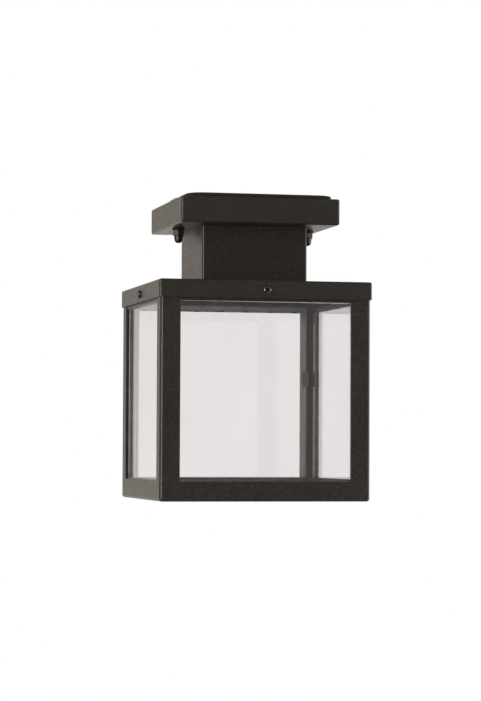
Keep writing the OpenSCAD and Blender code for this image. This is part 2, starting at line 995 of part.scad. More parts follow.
// Sealant between each pane and its frame, and under the bottom pane
module pane_sealant() {
    margin = 0.6;
    color("#b6bcc0") {
        on_sides()
            translate([0, -cage_in, 0])
                difference() {
                    translate([margin - pane_half, 0, window_bottom - pane_lap + margin])
                        cube([2 * (pane_half - margin), sealant_t, pane_h - 2 * margin]);
                    translate([-window_half, -eps, window_bottom])
                        cube([2 * window_half, sealant_t + 2 * eps, window_h]);
                }
        translate([0, 0, ledge_top])
            square_ring(2 * (bottom_pane_half - margin), 2 * (cage_in - ledge_w), sealant_t);
    }
}

// Bent tabs that hold the upright edges of the side panes: lip, web and foot
module pane_tabs() {
    tab_t = 0.8;
    lip_over = 3.6;
    foot_w = 5;
    web_x = pane_half + 0.2;
    foot_y = angle_t - cage_in;
    lip_y = 0.1 - pane_in;
    color("#3a3530")
        on_sides()
            for (side = [0, 1])
                mirror([side, 0, 0])
                    translate([0, 0, rail_bottom - tab_drop - tab_h / 2]) {
                        translate([pane_half - lip_over, lip_y, 0])
                            cube([lip_over + 1, tab_t, tab_h]);
                        translate([web_x, foot_y, 0])
                            cube([tab_t, lip_y - foot_y + tab_t, tab_h]);
                        translate([web_x, foot_y, 0])
                            cube([foot_w, tab_t, tab_h]);
                    }
}

// --- One line per sub-part ---

ceiling_gasket();
mounting_crossbar();
canopy_studs();
stud_nuts();
ground_screw();
canopy();
nut_washers();
cap_nut_left();
cap_nut_right();
terminal_block();
terminal_screws();
wire_grommets();
line_lead();
neutral_lead();
earth_lead();
neck_tube();
neck_screws();
roof_screws();
weld_nuts();
led_driver();
driver_screws();
plus_lead();
minus_lead();
roof_cap();
roof_gasket();
light_tray();
side_nuts();
led_board();
led_chips();
board_screws();
lens_gasket();
led_lens();
lens_ring();
ring_screws();
side_screw_front();
side_screw_rear();
side_screw_left();
side_screw_right();
front_frame();
rear_frame();
left_frame();
right_frame();
corner_angles();
bottom_ring();
front_pane();
rear_pane();
left_pane();
right_pane();
bottom_pane();
pane_sealant();
pane_tabs();
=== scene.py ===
# %% [markdown]
# # A porch ceiling lantern, dressed for a studio picture
#
# The lantern is a square glass cage under a flat roof cap. It hangs from the ceiling by a square neck and
# a shallow canopy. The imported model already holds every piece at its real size, so it is loaded first and
# stays fixed. Each cell below then either gives one of its pieces a finish, or swaps a plain solid for a
# folded, bevelled or poured one that has the same size and place.

# %% Load the fixed frame
import json
import math

import bmesh
import bpy
from mathutils import Matrix, Vector, noise


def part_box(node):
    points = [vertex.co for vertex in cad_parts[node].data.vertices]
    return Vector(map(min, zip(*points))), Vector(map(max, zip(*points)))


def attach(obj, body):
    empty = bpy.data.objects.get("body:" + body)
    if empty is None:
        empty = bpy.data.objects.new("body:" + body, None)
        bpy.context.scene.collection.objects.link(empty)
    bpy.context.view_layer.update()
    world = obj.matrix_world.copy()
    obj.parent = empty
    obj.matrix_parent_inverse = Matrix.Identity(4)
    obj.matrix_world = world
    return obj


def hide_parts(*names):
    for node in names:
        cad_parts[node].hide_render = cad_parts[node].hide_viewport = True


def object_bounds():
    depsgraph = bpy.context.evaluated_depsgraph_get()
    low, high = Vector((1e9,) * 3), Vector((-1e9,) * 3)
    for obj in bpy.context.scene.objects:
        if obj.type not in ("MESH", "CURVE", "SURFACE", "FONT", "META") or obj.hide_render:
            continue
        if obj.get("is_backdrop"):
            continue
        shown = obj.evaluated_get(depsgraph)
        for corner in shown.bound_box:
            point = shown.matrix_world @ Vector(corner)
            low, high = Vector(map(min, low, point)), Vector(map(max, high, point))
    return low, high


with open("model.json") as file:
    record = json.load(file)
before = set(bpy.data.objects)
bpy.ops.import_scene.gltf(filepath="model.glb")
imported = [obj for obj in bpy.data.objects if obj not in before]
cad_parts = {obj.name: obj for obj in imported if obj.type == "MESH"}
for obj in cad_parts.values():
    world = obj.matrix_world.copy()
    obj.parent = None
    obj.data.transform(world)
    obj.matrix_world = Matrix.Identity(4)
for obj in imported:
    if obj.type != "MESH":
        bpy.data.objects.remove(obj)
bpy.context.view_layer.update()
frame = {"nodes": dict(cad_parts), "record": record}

mm = 0.001
record = frame["record"]
slot_of = {part["node"]: part["material_slot"] for part in record["subparts"]}
body_of = {node: body for body, nodes in record["behaviour"]["bodies"].items() for node in nodes}

# %% [markdown]
# ## The camera
#
# The picture was taken from a little below the lantern and from its left, with a long lens a good way off.
# A camera like that is set by three things: where it stands, which way it looks, and its focal length.
# The look direction is worked out from a yaw, a pitch and a roll, and its three axes go straight into the
# camera's matrix. That keeps the small roll exact, which a tracking constraint would lose.

# %% Camera
camera_at = Vector((-0.4167, -1.8369, -0.1862))
camera_yaw, camera_pitch, camera_roll = (math.radians(a) for a in (12.73, 2.18, 0.26))
focal_length = 126.8

look = Vector((math.sin(camera_yaw) * math.cos(camera_pitch),
               math.cos(camera_yaw) * math.cos(camera_pitch), math.sin(camera_pitch)))
level_right = Vector((math.cos(camera_yaw), -math.sin(camera_yaw), 0))
level_up = level_right.cross(look)
right = math.cos(camera_roll) * level_right + math.sin(camera_roll) * level_up
up = math.cos(camera_roll) * level_up - math.sin(camera_roll) * level_right

camera_data = bpy.data.cameras.new("photo_camera")
camera_data.lens = focal_length
camera_data.sensor_width = 36
camera_data.clip_start = 0.05
camera = bpy.data.objects.new("photo_camera", camera_data)
camera.matrix_world = Matrix.Translation(camera_at) @ Matrix((right, up, -look)).transposed().to_4x4()
bpy.context.scene.collection.objects.link(camera)
bpy.context.scene.camera = camera
print("camera", [round(x, 3) for x in camera_at], "lens", focal_length)

# %% [markdown]
# ## Node trees in a few lines
#
# A material or a world is a tree of nodes. Adding each node by hand takes four or five lines, so these short
# helpers do it: wire adds a node and fills or links its inputs, and the others add the nodes used most.

# %% Helpers for node trees
def wire(tree, kind, **inputs):
    """Adds a node; inputs are values or other nodes' outputs, by socket name or number."""
    node = tree.nodes.new(kind)
    for key, value in inputs.items():
        socket = node.inputs[int(key[1:])] if key[1:].isdigit() else node.inputs[key.replace("_", " ")]
        if isinstance(value, bpy.types.NodeSocket):
            tree.links.new(value, socket)
        else:
            socket.default_value = value
    return node


def maths(tree, operation, a, b=0.5):
    """A Math node's result."""
    node = wire(tree, "ShaderNodeMath", _0=a, _1=b)
    node.operation = operation
    return node.outputs[0]


def fade(tree, value, start, end, low=0.0, high=1.0):
    """A value that goes smoothly from low to high as another goes from start to end."""
    node = wire(tree, "ShaderNodeMapRange", _0=value, _1=start, _2=end, _3=low, _4=high)
    node.interpolation_type = "SMOOTHSTEP"
    return node.outputs[0]


def mix_values(tree, factor, a, b):
    """Two numbers mixed by a factor."""
    return wire(tree, "ShaderNodeMix", _0=factor, _2=a, _3=b).outputs[0]


def mix_colours(tree, factor, a, b, kind="MIX"):
    """Two colours mixed by a factor."""
    node = wire(tree, "ShaderNodeMix", _0=factor)
    node.data_type = "RGBA"
    node.blend_type = kind
    for socket, value in ((node.inputs[6], a), (node.inputs[7], b)):
        if isinstance(value, bpy.types.NodeSocket):
            tree.links.new(value, socket)
        else:
            socket.default_value = (*value, 1)
    return node.outputs[2]


print("helpers for node trees are ready")

# %% [markdown]
# ## The light round it
#
# A dark satin coat shows its surroundings more than its own colour. Seen along a face it mirrors what is
# behind the lantern, and seen straight on it mirrors what is behind the camera. So the studio is a world with
# a picture of its own for rays that come off a glossy surface. Behind the lantern and on its right it is
# white, and brighter below, where a porch floor would be. It dims towards the camera's side, on the far left
# and overhead.

# %% World: what the coat mirrors
mirror_white = 0.70
mirror_below = 1.10
mirror_dark = 0.045
mirror_zenith = 0.12
mirror_left = 0.06
camera_side = (-0.15, -0.75)
right_side = (0.05, 0.75)
left_side = (-0.50, -0.85)
downwards = (0.05, -0.25)
overhead = (0.35, 0.85)

world = bpy.data.worlds.new("studio")
bpy.context.scene.world = world
world.use_nodes = True
tree = world.node_tree
direction = tree.nodes.new("ShaderNodeTexCoord").outputs["Generated"]
east, north, height = wire(tree, "ShaderNodeSeparateXYZ", Vector=direction).outputs
behind_level = fade(tree, height, *downwards, mirror_white, mirror_below)
front_level = fade(tree, east, *right_side, mirror_dark, mirror_white)
mirrored = mix_values(tree, fade(tree, north, *camera_side), behind_level, front_level)
mirrored = mix_values(tree, fade(tree, height, *overhead), mirrored, mirror_zenith)
mirrored = mix_values(tree, fade(tree, east, *left_side), mirrored, mirror_left)
print("mirrored levels go from", mirror_dark, "to", mirror_below)

# %% [markdown]
# ## Two bright spots
#
# A rounded fold mirrors every direction between those of its two faces, so one bright spot among them draws a
# thin light line along it. There is a spot on each side, at eye level. The panes would show the spots
# themselves, so they are left out: a ray off clear glass is perfectly sharp, which Light Path calls singular.

# %% World: bright spots
bright_spots = ((-0.75, -0.66, 8.5), (0.97, -0.22, 4.0))
spot_edge = (0.90, 0.98)
eye_level = (0.10, 0.24)

rays = tree.nodes.new("ShaderNodeLightPath")
blurred = maths(tree, "SUBTRACT", 1.0, rays.outputs["Is Singular Ray"])
level = fade(tree, maths(tree, "ABSOLUTE", height), *eye_level, 1.0, 0.0)
spot_share = maths(tree, "MULTIPLY", level, blurred)
for x, y, glow in bright_spots:
    closeness = wire(tree, "ShaderNodeVectorMath", _0=direction, _1=(x, y, 0))
    closeness.operation = "DOT_PRODUCT"
    spot = fade(tree, closeness.outputs["Value"], *spot_edge, 0.0, glow)
    mirrored = maths(tree, "ADD", mirrored, maths(tree, "MULTIPLY", spot, spot_share))
print(len(bright_spots), "bright spots")

# %% [markdown]
# ## Which rays see what
#
# Camera rays and rays through the glass see plain white. Glossy rays see the picture made above, a little
# warm, as white walls are in daylight, and only the bright spots stay white. All other rays get one even
# level, so that a colour renders about as it is written.

# %% World: sorting the rays
ambient_level = 0.82
mirror_tint = (1.0, 0.915, 0.83)
tint_fades = (1.2, 2.4)

glossy = rays.outputs["Is Glossy Ray"]
sees_white = maths(tree, "MAXIMUM", rays.outputs["Is Camera Ray"], rays.outputs["Is Transmission Ray"])
only_mirrored = maths(tree, "SUBTRACT", glossy, sees_white)
warm = maths(tree, "MULTIPLY", only_mirrored, fade(tree, mirrored, *tint_fades, 1.0, 0.0))
unseen = mix_values(tree, glossy, ambient_level, mirrored)
background = tree.nodes["Background"]
tree.links.new(mix_values(tree, sees_white, unseen, 1.0), background.inputs["Strength"])
tree.links.new(mix_colours(tree, warm, (1, 1, 1), mirror_tint), background.inputs["Color"])
print("the lantern is lit at an even level of", ambient_level)

# %% [markdown]
# ## Lamp
#
# One large soft lamp high on the left gives the folds and screw heads a direction without a hard shadow.

# %% Lamp
lamp_data = bpy.data.lights.new("soft_lamp", "AREA")
lamp_data.shape = "SQUARE"
lamp_data.size = 1.6
lamp_data.energy = 9
lamp = bpy.data.objects.new("soft_lamp", lamp_data)
lamp_at = Vector((-1.5, -1.0, 1.3))
lamp.matrix_world = Matrix.Translation(lamp_at) @ (-lamp_at).to_track_quat("-Z", "Y").to_matrix().to_4x4()
bpy.context.scene.collection.objects.link(lamp)
print("lamp at", [round(x, 2) for x in lamp_at])

# %% [markdown]
# ## Floor
#
# The floor is a pale disc far below, where a porch floor would be. It keeps the lantern's faint shadow, and
# it turns into plain white away from its middle, so that no edge shows from any side. In the coat's
# reflections it is darker, as a floor in its own shade is.

# %% Floor
floor_level = -1.9
floor_radius = 4.0
floor_middle = 0.9
floor_paint, floor_cloud = (0.86, 0.86, 0.855), (0.90, 0.90, 0.895)
floor_in_shade = (0.30, 0.29, 0.28)

bm = bmesh.new()
bmesh.ops.create_circle(bm, cap_ends=True, segments=96, radius=floor_radius)
floor_mesh = bpy.data.meshes.new("floor")
bm.to_mesh(floor_mesh)
bm.free()
floor_mesh.transform(Matrix.Translation((0, 0, floor_level)))
floor = bpy.data.objects.new("floor", floor_mesh)
bpy.context.scene.collection.objects.link(floor)
floor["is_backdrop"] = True

pale = bpy.data.materials.new("pale_floor")
pale.use_nodes = True
tree = pale.node_tree
place = tree.nodes.new("ShaderNodeTexCoord").outputs["Object"]
across = wire(tree, "ShaderNodeVectorMath", _0=place, _1=(1, 1, 0))
across.operation = "MULTIPLY"
far = wire(tree, "ShaderNodeVectorMath", _0=across.outputs[0])
far.operation = "LENGTH"
mirrored_floor = tree.nodes.new("ShaderNodeLightPath").outputs["Is Glossy Ray"]
outside = fade(tree, far.outputs["Value"], floor_middle, 0.95 * floor_radius)
open_white = maths(tree, "SUBTRACT", outside, mirrored_floor)
cloud = wire(tree, "ShaderNodeTexNoise", Vector=place, Scale=3.0, Detail=3.0)
paint = mix_colours(tree, cloud.outputs[0], floor_paint, floor_cloud)
paint = mix_colours(tree, mirrored_floor, paint, floor_in_shade)
shader = tree.nodes["Principled BSDF"]
tree.links.new(paint, shader.inputs["Base Color"])
shader.inputs["Roughness"].default_value = 0.8
shader.inputs["Specular IOR Level"].default_value = 0.2
glow = wire(tree, "ShaderNodeEmission", Strength=1.0)
both = wire(tree, "ShaderNodeMixShader", _0=open_white, _1=shader.outputs[0], _2=glow.outputs[0])
tree.links.new(both.outputs[0], tree.nodes["Material Output"].inputs["Surface"])
floor_mesh.materials.append(pale)
print("floor at", floor_level, "m")

# %% [markdown]
# ## How a finish is put together
#
# Every finish below is a Principled shader with a pattern behind its colour, roughness and bump. The
# patterns read Object coordinates in metres, so a noise scale is one over the size of its lumps. A few
# helpers keep each finish short: lumps gives a noise, tones turns it into colours, relief turns it into a
# bump, and cover links a colour, a roughness and bumps in one go. A value that is the same all over goes
# straight on the shader's socket.

# %% Helpers for finishes
def new_finish(name, **even):
    """A material, its node tree, its shader, and the Object coordinates; even values go on the sockets."""
    material = bpy.data.materials.new(name)
    material.use_nodes = True
    tree = material.node_tree
    shader = tree.nodes["Principled BSDF"]
    for key, value in even.items():
        shader.inputs[key.replace("_", " ")].default_value = value
    return material, tree, shader, tree.nodes.new("ShaderNodeTexCoord").outputs["Object"]


def lumps(tree, place, size, detail=2.0, rough=0.5, stretch=None):
    """A noise whose lumps are about size metres across, stretched along an axis if asked."""
    if stretch:
        place = wire(tree, "ShaderNodeMapping", Vector=place, Scale=[1 / s for s in stretch]).outputs[0]
    node = wire(tree, "ShaderNodeTexNoise", Vector=place, Scale=1 / size, Detail=detail, Roughness=rough)
    return node.outputs[0]


def tones(tree, value, *stops):
    """Colours along a value: each stop is (position, (red, green, blue))."""
    node = wire(tree, "ShaderNodeValToRGB", Fac=value)
    marks = node.color_ramp.elements
    for i, (position, colour) in enumerate(stops):
        mark = marks[i] if i < 2 else marks.new(position)
        mark.position = position
        mark.color = (*colour, 1)
    return node.outputs[0]


def relief(tree, shader, *heights):
    """Bumps stacked on the shader's normal: each is (height, strength, depth in metres)."""
    normal = None
    for height, strength, depth in heights:
        node = wire(tree, "ShaderNodeBump", Height=height, Strength=strength, Distance=depth)
        if normal:
            tree.links.new(normal, node.inputs["Normal"])
        normal = node.outputs[0]
    tree.links.new(normal, shader.inputs["Normal"])


def cover(tree, shader, colour, wear, smooth, dull, *heights):
    """Links a colour, bumps, and a roughness that goes from smooth to dull as a noise called wear rises."""
    tree.links.new(colour, shader.inputs["Base Color"])
    tree.links.new(fade(tree, wear, 0.3, 0.7, smooth, dull), shader.inputs["Roughness"])
    relief(tree, shader, *heights)


finishes = {}
print("helpers for finishes are ready")

# %% [markdown]
# ## Powder coat
#
# The canopy, neck, roof and frames are sprayed with a dry brown-black powder and baked. The powder melts
# into a satin skin with a fine orange peel, about a millimetre from lump to lump. A few grains are painted
# lighter, a painted highlight for the glint of proud grains. An image of the surface could be wrapped on,
# but a few noises at those sizes give the same skin on every piece without a seam.

# %% Powder coat
peel = 0.9 * mm
fine_peel = 0.45 * mm
peel_patch = 3 * mm
coat_drift = 45 * mm


def powder_coat():
    material, tree, shader, place = new_finish("powder_coat", IOR=1.5, Specular_Tint=(1.0, 0.92, 0.84, 1))
    grain = lumps(tree, place, peel, detail=3)
    patch = lumps(tree, place, peel_patch, detail=3)
    cloud = lumps(tree, place, coat_drift)
    base = tones(tree, grain, (0.36, (0.0112, 0.0095, 0.0078)), (0.64, (0.0362, 0.0312, 0.0258)))
    drift = tones(tree, cloud, (0.3, (0.88, 0.88, 0.88)), (0.7, (1.05, 1.05, 1.05)))
    base = mix_colours(tree, 1.0, base, drift, "MULTIPLY")
    # Painted highlight: a few grains get a lighter colour, standing in for the glint of proud grains.
    painted_glint = fade(tree, lumps(tree, place, peel, detail=1), 0.72, 0.79)
    tree.links.new(mix_colours(tree, painted_glint, base, (0.085, 0.077, 0.068)), shader.inputs["Base Color"])
    skin = mix_values(tree, 0.45, grain, patch)
    tree.links.new(fade(tree, skin, 0.38, 0.62, 0.31, 0.42), shader.inputs["Roughness"])
    relief(tree, shader, (cloud, 0.10, 0.4 * mm), (patch, 0.10, 0.2 * mm), (grain, 0.30, 0.06 * mm),
           (lumps(tree, place, fine_peel), 0.20, 0.03 * mm))
    return material


finishes["powder_coat"] = powder_coat()
print(f"powder coat: peel of {peel / mm} mm, patches of {peel_patch / mm:.0f} mm, "
      f"drift of {coat_drift / mm:.0f} mm")

# %% [markdown]
# ## Matt coat on the parts inside
#
# The tray, the lens ring, the corner angles and the pane tabs are coated too, but thinner and flatter, and
# nobody polishes them. The same grain is used, a little lighter and rougher.

# %% Matt coat
matt_tones = ((0.3, (0.060, 0.042, 0.027)), (0.7, (0.088, 0.065, 0.044)))
peel_bump = (0.3, 0.06 * mm)


def tray_coat():
    material, tree, shader, place = new_finish("tray_coat", IOR=1.45, Specular_Tint=(1.0, 0.90, 0.80, 1))
    grain = lumps(tree, place, peel, detail=3)
    smudge = lumps(tree, place, 18 * mm, detail=4)
    dust = tones(tree, smudge, (0.35, (0.85, 0.85, 0.85)), (0.75, (1.15, 1.12, 1.10)))
    colour = mix_colours(tree, 1.0, tones(tree, grain, *matt_tones), dust, "MULTIPLY")
    cover(tree, shader, colour, smudge, 0.55, 0.68, (grain, *peel_bump))
    return material


finishes["tray_coat"] = tray_coat()
print("matt coat is ready")

# %% [markdown]
# ## Smeared tabs
#
# The lips of the tabs on the front and rear panes were wiped over with sealant, and so was everything in the
# rear left corner. The other side panes' tabs stayed clean. A lip lies nearer the middle of the cage than the
# rest of its tab, so the larger of x and y tells the shader where it is.

# %% Smeared tabs
def tab_coat():
    material, tree, shader, place = new_finish("tab_coat", IOR=1.45)
    x, y = wire(tree, "ShaderNodeSeparateXYZ", Vector=place).outputs[:2]
    sideways, lengthways = maths(tree, "ABSOLUTE", x), maths(tree, "ABSOLUTE", y)
    lip_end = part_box("rear_pane")[0].y
    lip = fade(tree, maths(tree, "MAXIMUM", sideways, lengthways), lip_end + 0.5 * mm, lip_end)
    rear_left = maths(tree, "MULTIPLY", maths(tree, "LESS_THAN", x, 0), maths(tree, "GREATER_THAN", y, 0))
    front_or_rear = maths(tree, "GREATER_THAN", lengthways, sideways)
    lip = maths(tree, "MULTIPLY", lip, maths(tree, "MAXIMUM", rear_left, front_or_rear))
    grain = lumps(tree, place, peel, detail=3)
    wiped = tones(tree, grain, (0.35, (0.18, 0.16, 0.14)), (0.65, (0.30, 0.275, 0.25)))
    buried = tones(tree, grain, (0.35, (0.50, 0.48, 0.45)), (0.65, (0.66, 0.63, 0.60)))
    wiped = mix_colours(tree, rear_left, wiped, buried)
    colour = mix_colours(tree, lip, tones(tree, grain, *matt_tones), wiped)
    cover(tree, shader, colour, grain, 0.50, 0.62, (grain, *peel_bump))
    return material


finishes["pane_tabs"] = tab_coat()
print("tab coat is ready")

# %% [markdown]
# ## Metals
#
# Zinc plating is a bright grey with a cloudy passivation film and fine rolling marks. Blackened steel is an
# oiled oxide skin: nearly black and smooth. The side screws are in black chromium, which mirrors more, so
# the rounded shoulders of their heads flash. Brass is warm and slightly tarnished. Each is the same recipe
# with its own colours, so one function makes all of them.

# %% Metals
def plated(name, dark, light, metal, smooth, dull, **even):
    """A plated metal: a cloudy film in two tones and fine marks along the stock."""
    material, tree, shader, place = new_finish(name, Metallic=metal, **even)
    film = lumps(tree, place, 7 * mm, detail=4, rough=0.6)
    marks = lumps(tree, place, 0.35 * mm, stretch=(9, 1, 1))
    colour = tones(tree, film, (0.3, dark), (0.7, light))
    wear = maths(tree, "ADD", maths(tree, "MULTIPLY", film, 0.7), maths(tree, "MULTIPLY", marks, 0.3))
    cover(tree, shader, colour, wear, smooth, dull, (marks, 0.12, 0.02 * mm))
    return material


finishes["zinc_steel"] = plated("zinc_steel", (0.46, 0.455, 0.43), (0.66, 0.66, 0.63), 0.9, 0.28, 0.48)
finishes["green_steel"] = plated("green_steel", (0.03, 0.17, 0.06), (0.05, 0.27, 0.10), 0.4, 0.28, 0.42)
finishes["brass"] = plated("brass", (0.55, 0.40, 0.17), (0.74, 0.58, 0.29), 0.95, 0.25, 0.45)
finishes["black_steel"] = plated("black_steel", (0.009, 0.008, 0.007), (0.020, 0.018, 0.016), 0, 0.28, 0.40,
                                 IOR=1.7)
black_chrome = plated("black_chrome", (0.005, 0.004, 0.004), (0.010, 0.009, 0.009), 0, 0.16, 0.25, IOR=2.1)
for side in ("front", "rear", "left", "right"):
    finishes[f"side_screw_{side}"] = black_chrome
print("metals: zinc, green zinc, brass, black steel and black chromium")

# %% [markdown]
# ## Rubber and foam
#
# The seal against the ceiling is closed-cell foam: matt, with open pin pores at its cut edge. The bushes,
# washers and the lens seal are moulded rubber, smoother and faintly greyed by a bloom. Pores are a Voronoi
# pattern, because its cells are round and packed like bubbles; the bloom is a plain noise.

# %% Rubber and foam
pore = 0.7 * mm


def foam_rubber():
    material, tree, shader, place = new_finish("foam_rubber", IOR=1.4)
    cells = wire(tree, "ShaderNodeTexVoronoi", Vector=place, Scale=1 / pore).outputs["Distance"]
    patch = lumps(tree, place, 9 * mm, detail=3)
    base = tones(tree, cells, (0.1, (0.007, 0.007, 0.006)), (0.6, (0.020, 0.019, 0.017)))
    worn = tones(tree, patch, (0.3, (0.8, 0.8, 0.8)), (0.7, (1.2, 1.2, 1.2)))
    colour = mix_colours(tree, 1.0, base, worn, "MULTIPLY")
    cover(tree, shader, colour, patch, 0.78, 0.92, (cells, 0.5, 0.12 * mm))
    return material


def bush_rubber():
    material, tree, shader, place = new_finish("bush_rubber", IOR=1.45)
    bloom = lumps(tree, place, 3 * mm, detail=4)
    skin = lumps(tree, place, 0.3 * mm)
    colour = tones(tree, bloom, (0.35, (0.012, 0.012, 0.012)), (0.75, (0.035, 0.034, 0.033)))
    cover(tree, shader, colour, bloom, 0.5, 0.66, (skin, 0.2, 0.02 * mm))
    return material


finishes["foam_rubber"] = foam_rubber()
finishes["bush_rubber"] = bush_rubber()
print("rubbers are ready")

# %% [markdown]
# ## Silicone sealant
#
# The panes are glued in with a pale blue-grey silicone that the glass pressed flat. It spread in bands along
# the frame's bars, so its streaks run along each bar: level above and below a window, upright beside it. The
# height tells the shader which of the two it paints. It tints the upright bands with the brown of the coat
# behind them, and makes the band below a window darker and browner. A little subsurface light keeps it from
# looking like paint. The thick fillet in one corner is the same silicone in lighter tones.

# %% Sealant finish
pane_lap = 4.8 * mm
band_fades = 1.5 * mm
# The second colour makes the band below a window darker and browner.
coat_behind, sill_brown = (0.82, 0.72, 0.65), (0.38, 0.30, 0.235)
streaks_level, streaks_upright = (9, 9, 0.7), (0.7, 0.7, 9)


def sealant(name, thin, smeared, thick):
    """A silicone in three tones, from where it is pressed thin to where it is thick."""
    material, tree, shader, place = new_finish(name, IOR=1.41, Subsurface_Weight=0.1, Subsurface_Scale=1 * mm)
    bottom, top = (corner.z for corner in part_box("front_pane"))
    height = wire(tree, "ShaderNodeSeparateXYZ", Vector=place).outputs["Z"]
    beside = maths(tree, "MULTIPLY", fade(tree, height, bottom + pane_lap, bottom + pane_lap + band_fades),
                   fade(tree, height, top - pane_lap, top - pane_lap - band_fades))
    level = lumps(tree, place, 1.2 * mm, detail=3, stretch=streaks_level)
    standing = lumps(tree, place, 1.2 * mm, detail=3, stretch=streaks_upright)
    spread = lumps(tree, place, 4 * mm, detail=4, rough=0.6)
    film = mix_values(tree, 0.5, mix_values(tree, beside, level, standing), spread)
    silicone = tones(tree, film, (0.36, thin), (0.5, smeared), (0.62, thick))
    # Below a window the silicone is tinted darker and browner.
    below = fade(tree, height, bottom + pane_lap + 2 * mm, bottom + pane_lap + 1 * mm)
    tint = mix_colours(tree, beside, (1, 1, 1), coat_behind)
    tint = mix_colours(tree, below, tint, sill_brown)
    colour = mix_colours(tree, 1.0, silicone, tint, "MULTIPLY")
    cover(tree, shader, colour, spread, 0.30, 0.5, (spread, 0.4, 0.15 * mm))
    return material


finishes["sealant"] = sealant("sealant", (0.58, 0.58, 0.58), (0.80, 0.82, 0.84), (0.90, 0.94, 0.96))
fillet_sealant = sealant("fillet_sealant", (0.80, 0.81, 0.82), (0.88, 0.89, 0.90), (0.94, 0.95, 0.95))
print("sealant is ready")

# %% [markdown]
# ## Clear glass
#
# Each pane is a real 3 mm slab, so the shader needs no trick: full transmission, the index of float glass
# and no roughness. The faint warm grey of the panes is the base colour, which tints what passes through. A
# very slow ripple in the normal is what drawn glass has, and it bends reflections a little.

# %% Clear glass
def clear_glass():
    material, tree, shader, place = new_finish("clear_glass", Transmission_Weight=1.0, IOR=1.5, Roughness=0)
    film = lumps(tree, place, 60 * mm)
    tree.links.new(tones(tree, film, (0.3, (0.892, 0.873, 0.871)), (0.7, (0.915, 0.898, 0.898))),
                   shader.inputs["Base Color"])
    relief(tree, shader, (film, 0.04, 0.2 * mm))
    return material


finishes["clear_glass"] = clear_glass()
print("glass is ready")

# %% [markdown]
# ## Plastics, wires and the light
#
# Moulded housings have a fine spark-eroded grain. Wire insulation is smooth and slightly glossy, and the
# earth wire is green with a yellow stripe along it. The board is white lacquer on aluminium, the chips are
# yellow phosphor, and the lens is an opal dish that scatters light inside.

# %% Plastics, wires and the light
def moulded(name, dark, light, smooth=0.42, dull=0.55, **even):
    """A moulded plastic in two near tones with a fine grain."""
    material, tree, shader, place = new_finish(name, IOR=1.48, **even)
    flow = lumps(tree, place, 14 * mm, detail=3)
    grain = lumps(tree, place, 0.5 * mm)
    colour = tones(tree, flow, (0.3, dark), (0.7, light))
    cover(tree, shader, colour, grain, smooth, dull, (grain, 0.25, 0.03 * mm))
    return material


def earth_insulation():
    material, tree, shader, place = new_finish("earth_lead_plastic", IOR=1.5)
    stripe = wire(tree, "ShaderNodeTexWave", Vector=place, Scale=1 / (9 * mm), Distortion=1.2)
    stripe.bands_direction = "DIAGONAL"
    band = fade(tree, stripe.outputs["Fac"], 0.45, 0.55)
    colour = mix_colours(tree, band, (0.06, 0.26, 0.06), (0.62, 0.55, 0.08))
    grain = lumps(tree, place, 0.4 * mm)
    cover(tree, shader, colour, grain, 0.28, 0.4, (grain, 0.15, 0.02 * mm))
    return material


finishes["block_plastic"] = moulded("block_plastic", (0.70, 0.68, 0.61), (0.80, 0.78, 0.72))
finishes["driver_plastic"] = moulded("driver_plastic", (0.66, 0.65, 0.61), (0.74, 0.73, 0.70))
finishes["brown_lead"] = moulded("brown_lead", (0.13, 0.055, 0.025), (0.18, 0.08, 0.035), 0.26, 0.38)
finishes["blue_lead"] = moulded("blue_lead", (0.035, 0.09, 0.27), (0.06, 0.14, 0.36), 0.26, 0.38)
finishes["red_lead"] = moulded("red_lead", (0.34, 0.03, 0.02), (0.44, 0.05, 0.035), 0.26, 0.38)
finishes["black_lead"] = moulded("black_lead", (0.014, 0.014, 0.014), (0.026, 0.026, 0.026), 0.26, 0.38)
finishes["earth_lead_plastic"] = earth_insulation()
finishes["board_white"] = moulded("board_white", (0.78, 0.78, 0.75), (0.86, 0.86, 0.83), 0.22, 0.34)
finishes["chip_phosphor"] = moulded("chip_phosphor", (0.78, 0.54, 0.08), (0.86, 0.64, 0.14), 0.2, 0.3)
finishes["opal_plastic"] = moulded("opal_plastic", (0.82, 0.81, 0.77), (0.88, 0.87, 0.84), 0.3, 0.4,
                                   Subsurface_Weight=0.4, Subsurface_Scale=3 * mm)
print(len(finishes), "finishes for", len(set(slot_of.values())), "slots")

# %% [markdown]
# ## How a piece is put together
#
# It is cut, folded and bevelled with bmesh operators while it is still a flat skin, and only then gets its
# wall. An operator works on the edges and faces that it is given, so the first helpers slice a mesh where it
# will bend or open, and then find edges and faces by their place.

# %% Helpers: boxes, slices and places
def box_mesh(low, high):
    """A bmesh box between two corners."""
    bm = bmesh.new()
    bmesh.ops.create_cube(bm, size=1)
    size = Vector(high) - Vector(low)
    bmesh.ops.scale(bm, vec=size, verts=bm.verts)
    bmesh.ops.translate(bm, vec=(Vector(high) + Vector(low)) / 2, verts=bm.verts)
    return bm


def slice_at(bm, axis, level, faces=None):
    """Cuts the mesh, or only some of its faces, with the plane where x, y or z is level."""
    normal = Vector((axis == "x", axis == "y", axis == "z"))
    chosen = list(faces or bm.faces)
    around = {e for f in chosen for e in f.edges} | {v for f in chosen for v in f.verts}
    bmesh.ops.bisect_plane(bm, geom=chosen + list(around), plane_co=normal * level, plane_no=normal,
                           dist=1e-7)


def edges_where(bm, test):
    """The edges whose two ends both pass a test."""
    return [e for e in bm.edges if all(test(v.co) for v in e.verts)]


def faces_where(bm, test):
    """The faces whose middle passes a test."""
    return [f for f in bm.faces if test(f.calc_center_median())]


def near(a, b, reach=0.01 * mm):
    return abs(a - b) < reach


def keeps(edge, axis):
    """Whether both ends of an edge have the same x, y or z."""
    return near(*(getattr(v.co, axis) for v in edge.verts))


def upright(edge):
    """Whether an edge runs along z."""
    run = edge.verts[0].co - edge.verts[1].co
    return abs(run.z) > 0.9 * run.length


print("helpers for boxes, slices and places are ready")

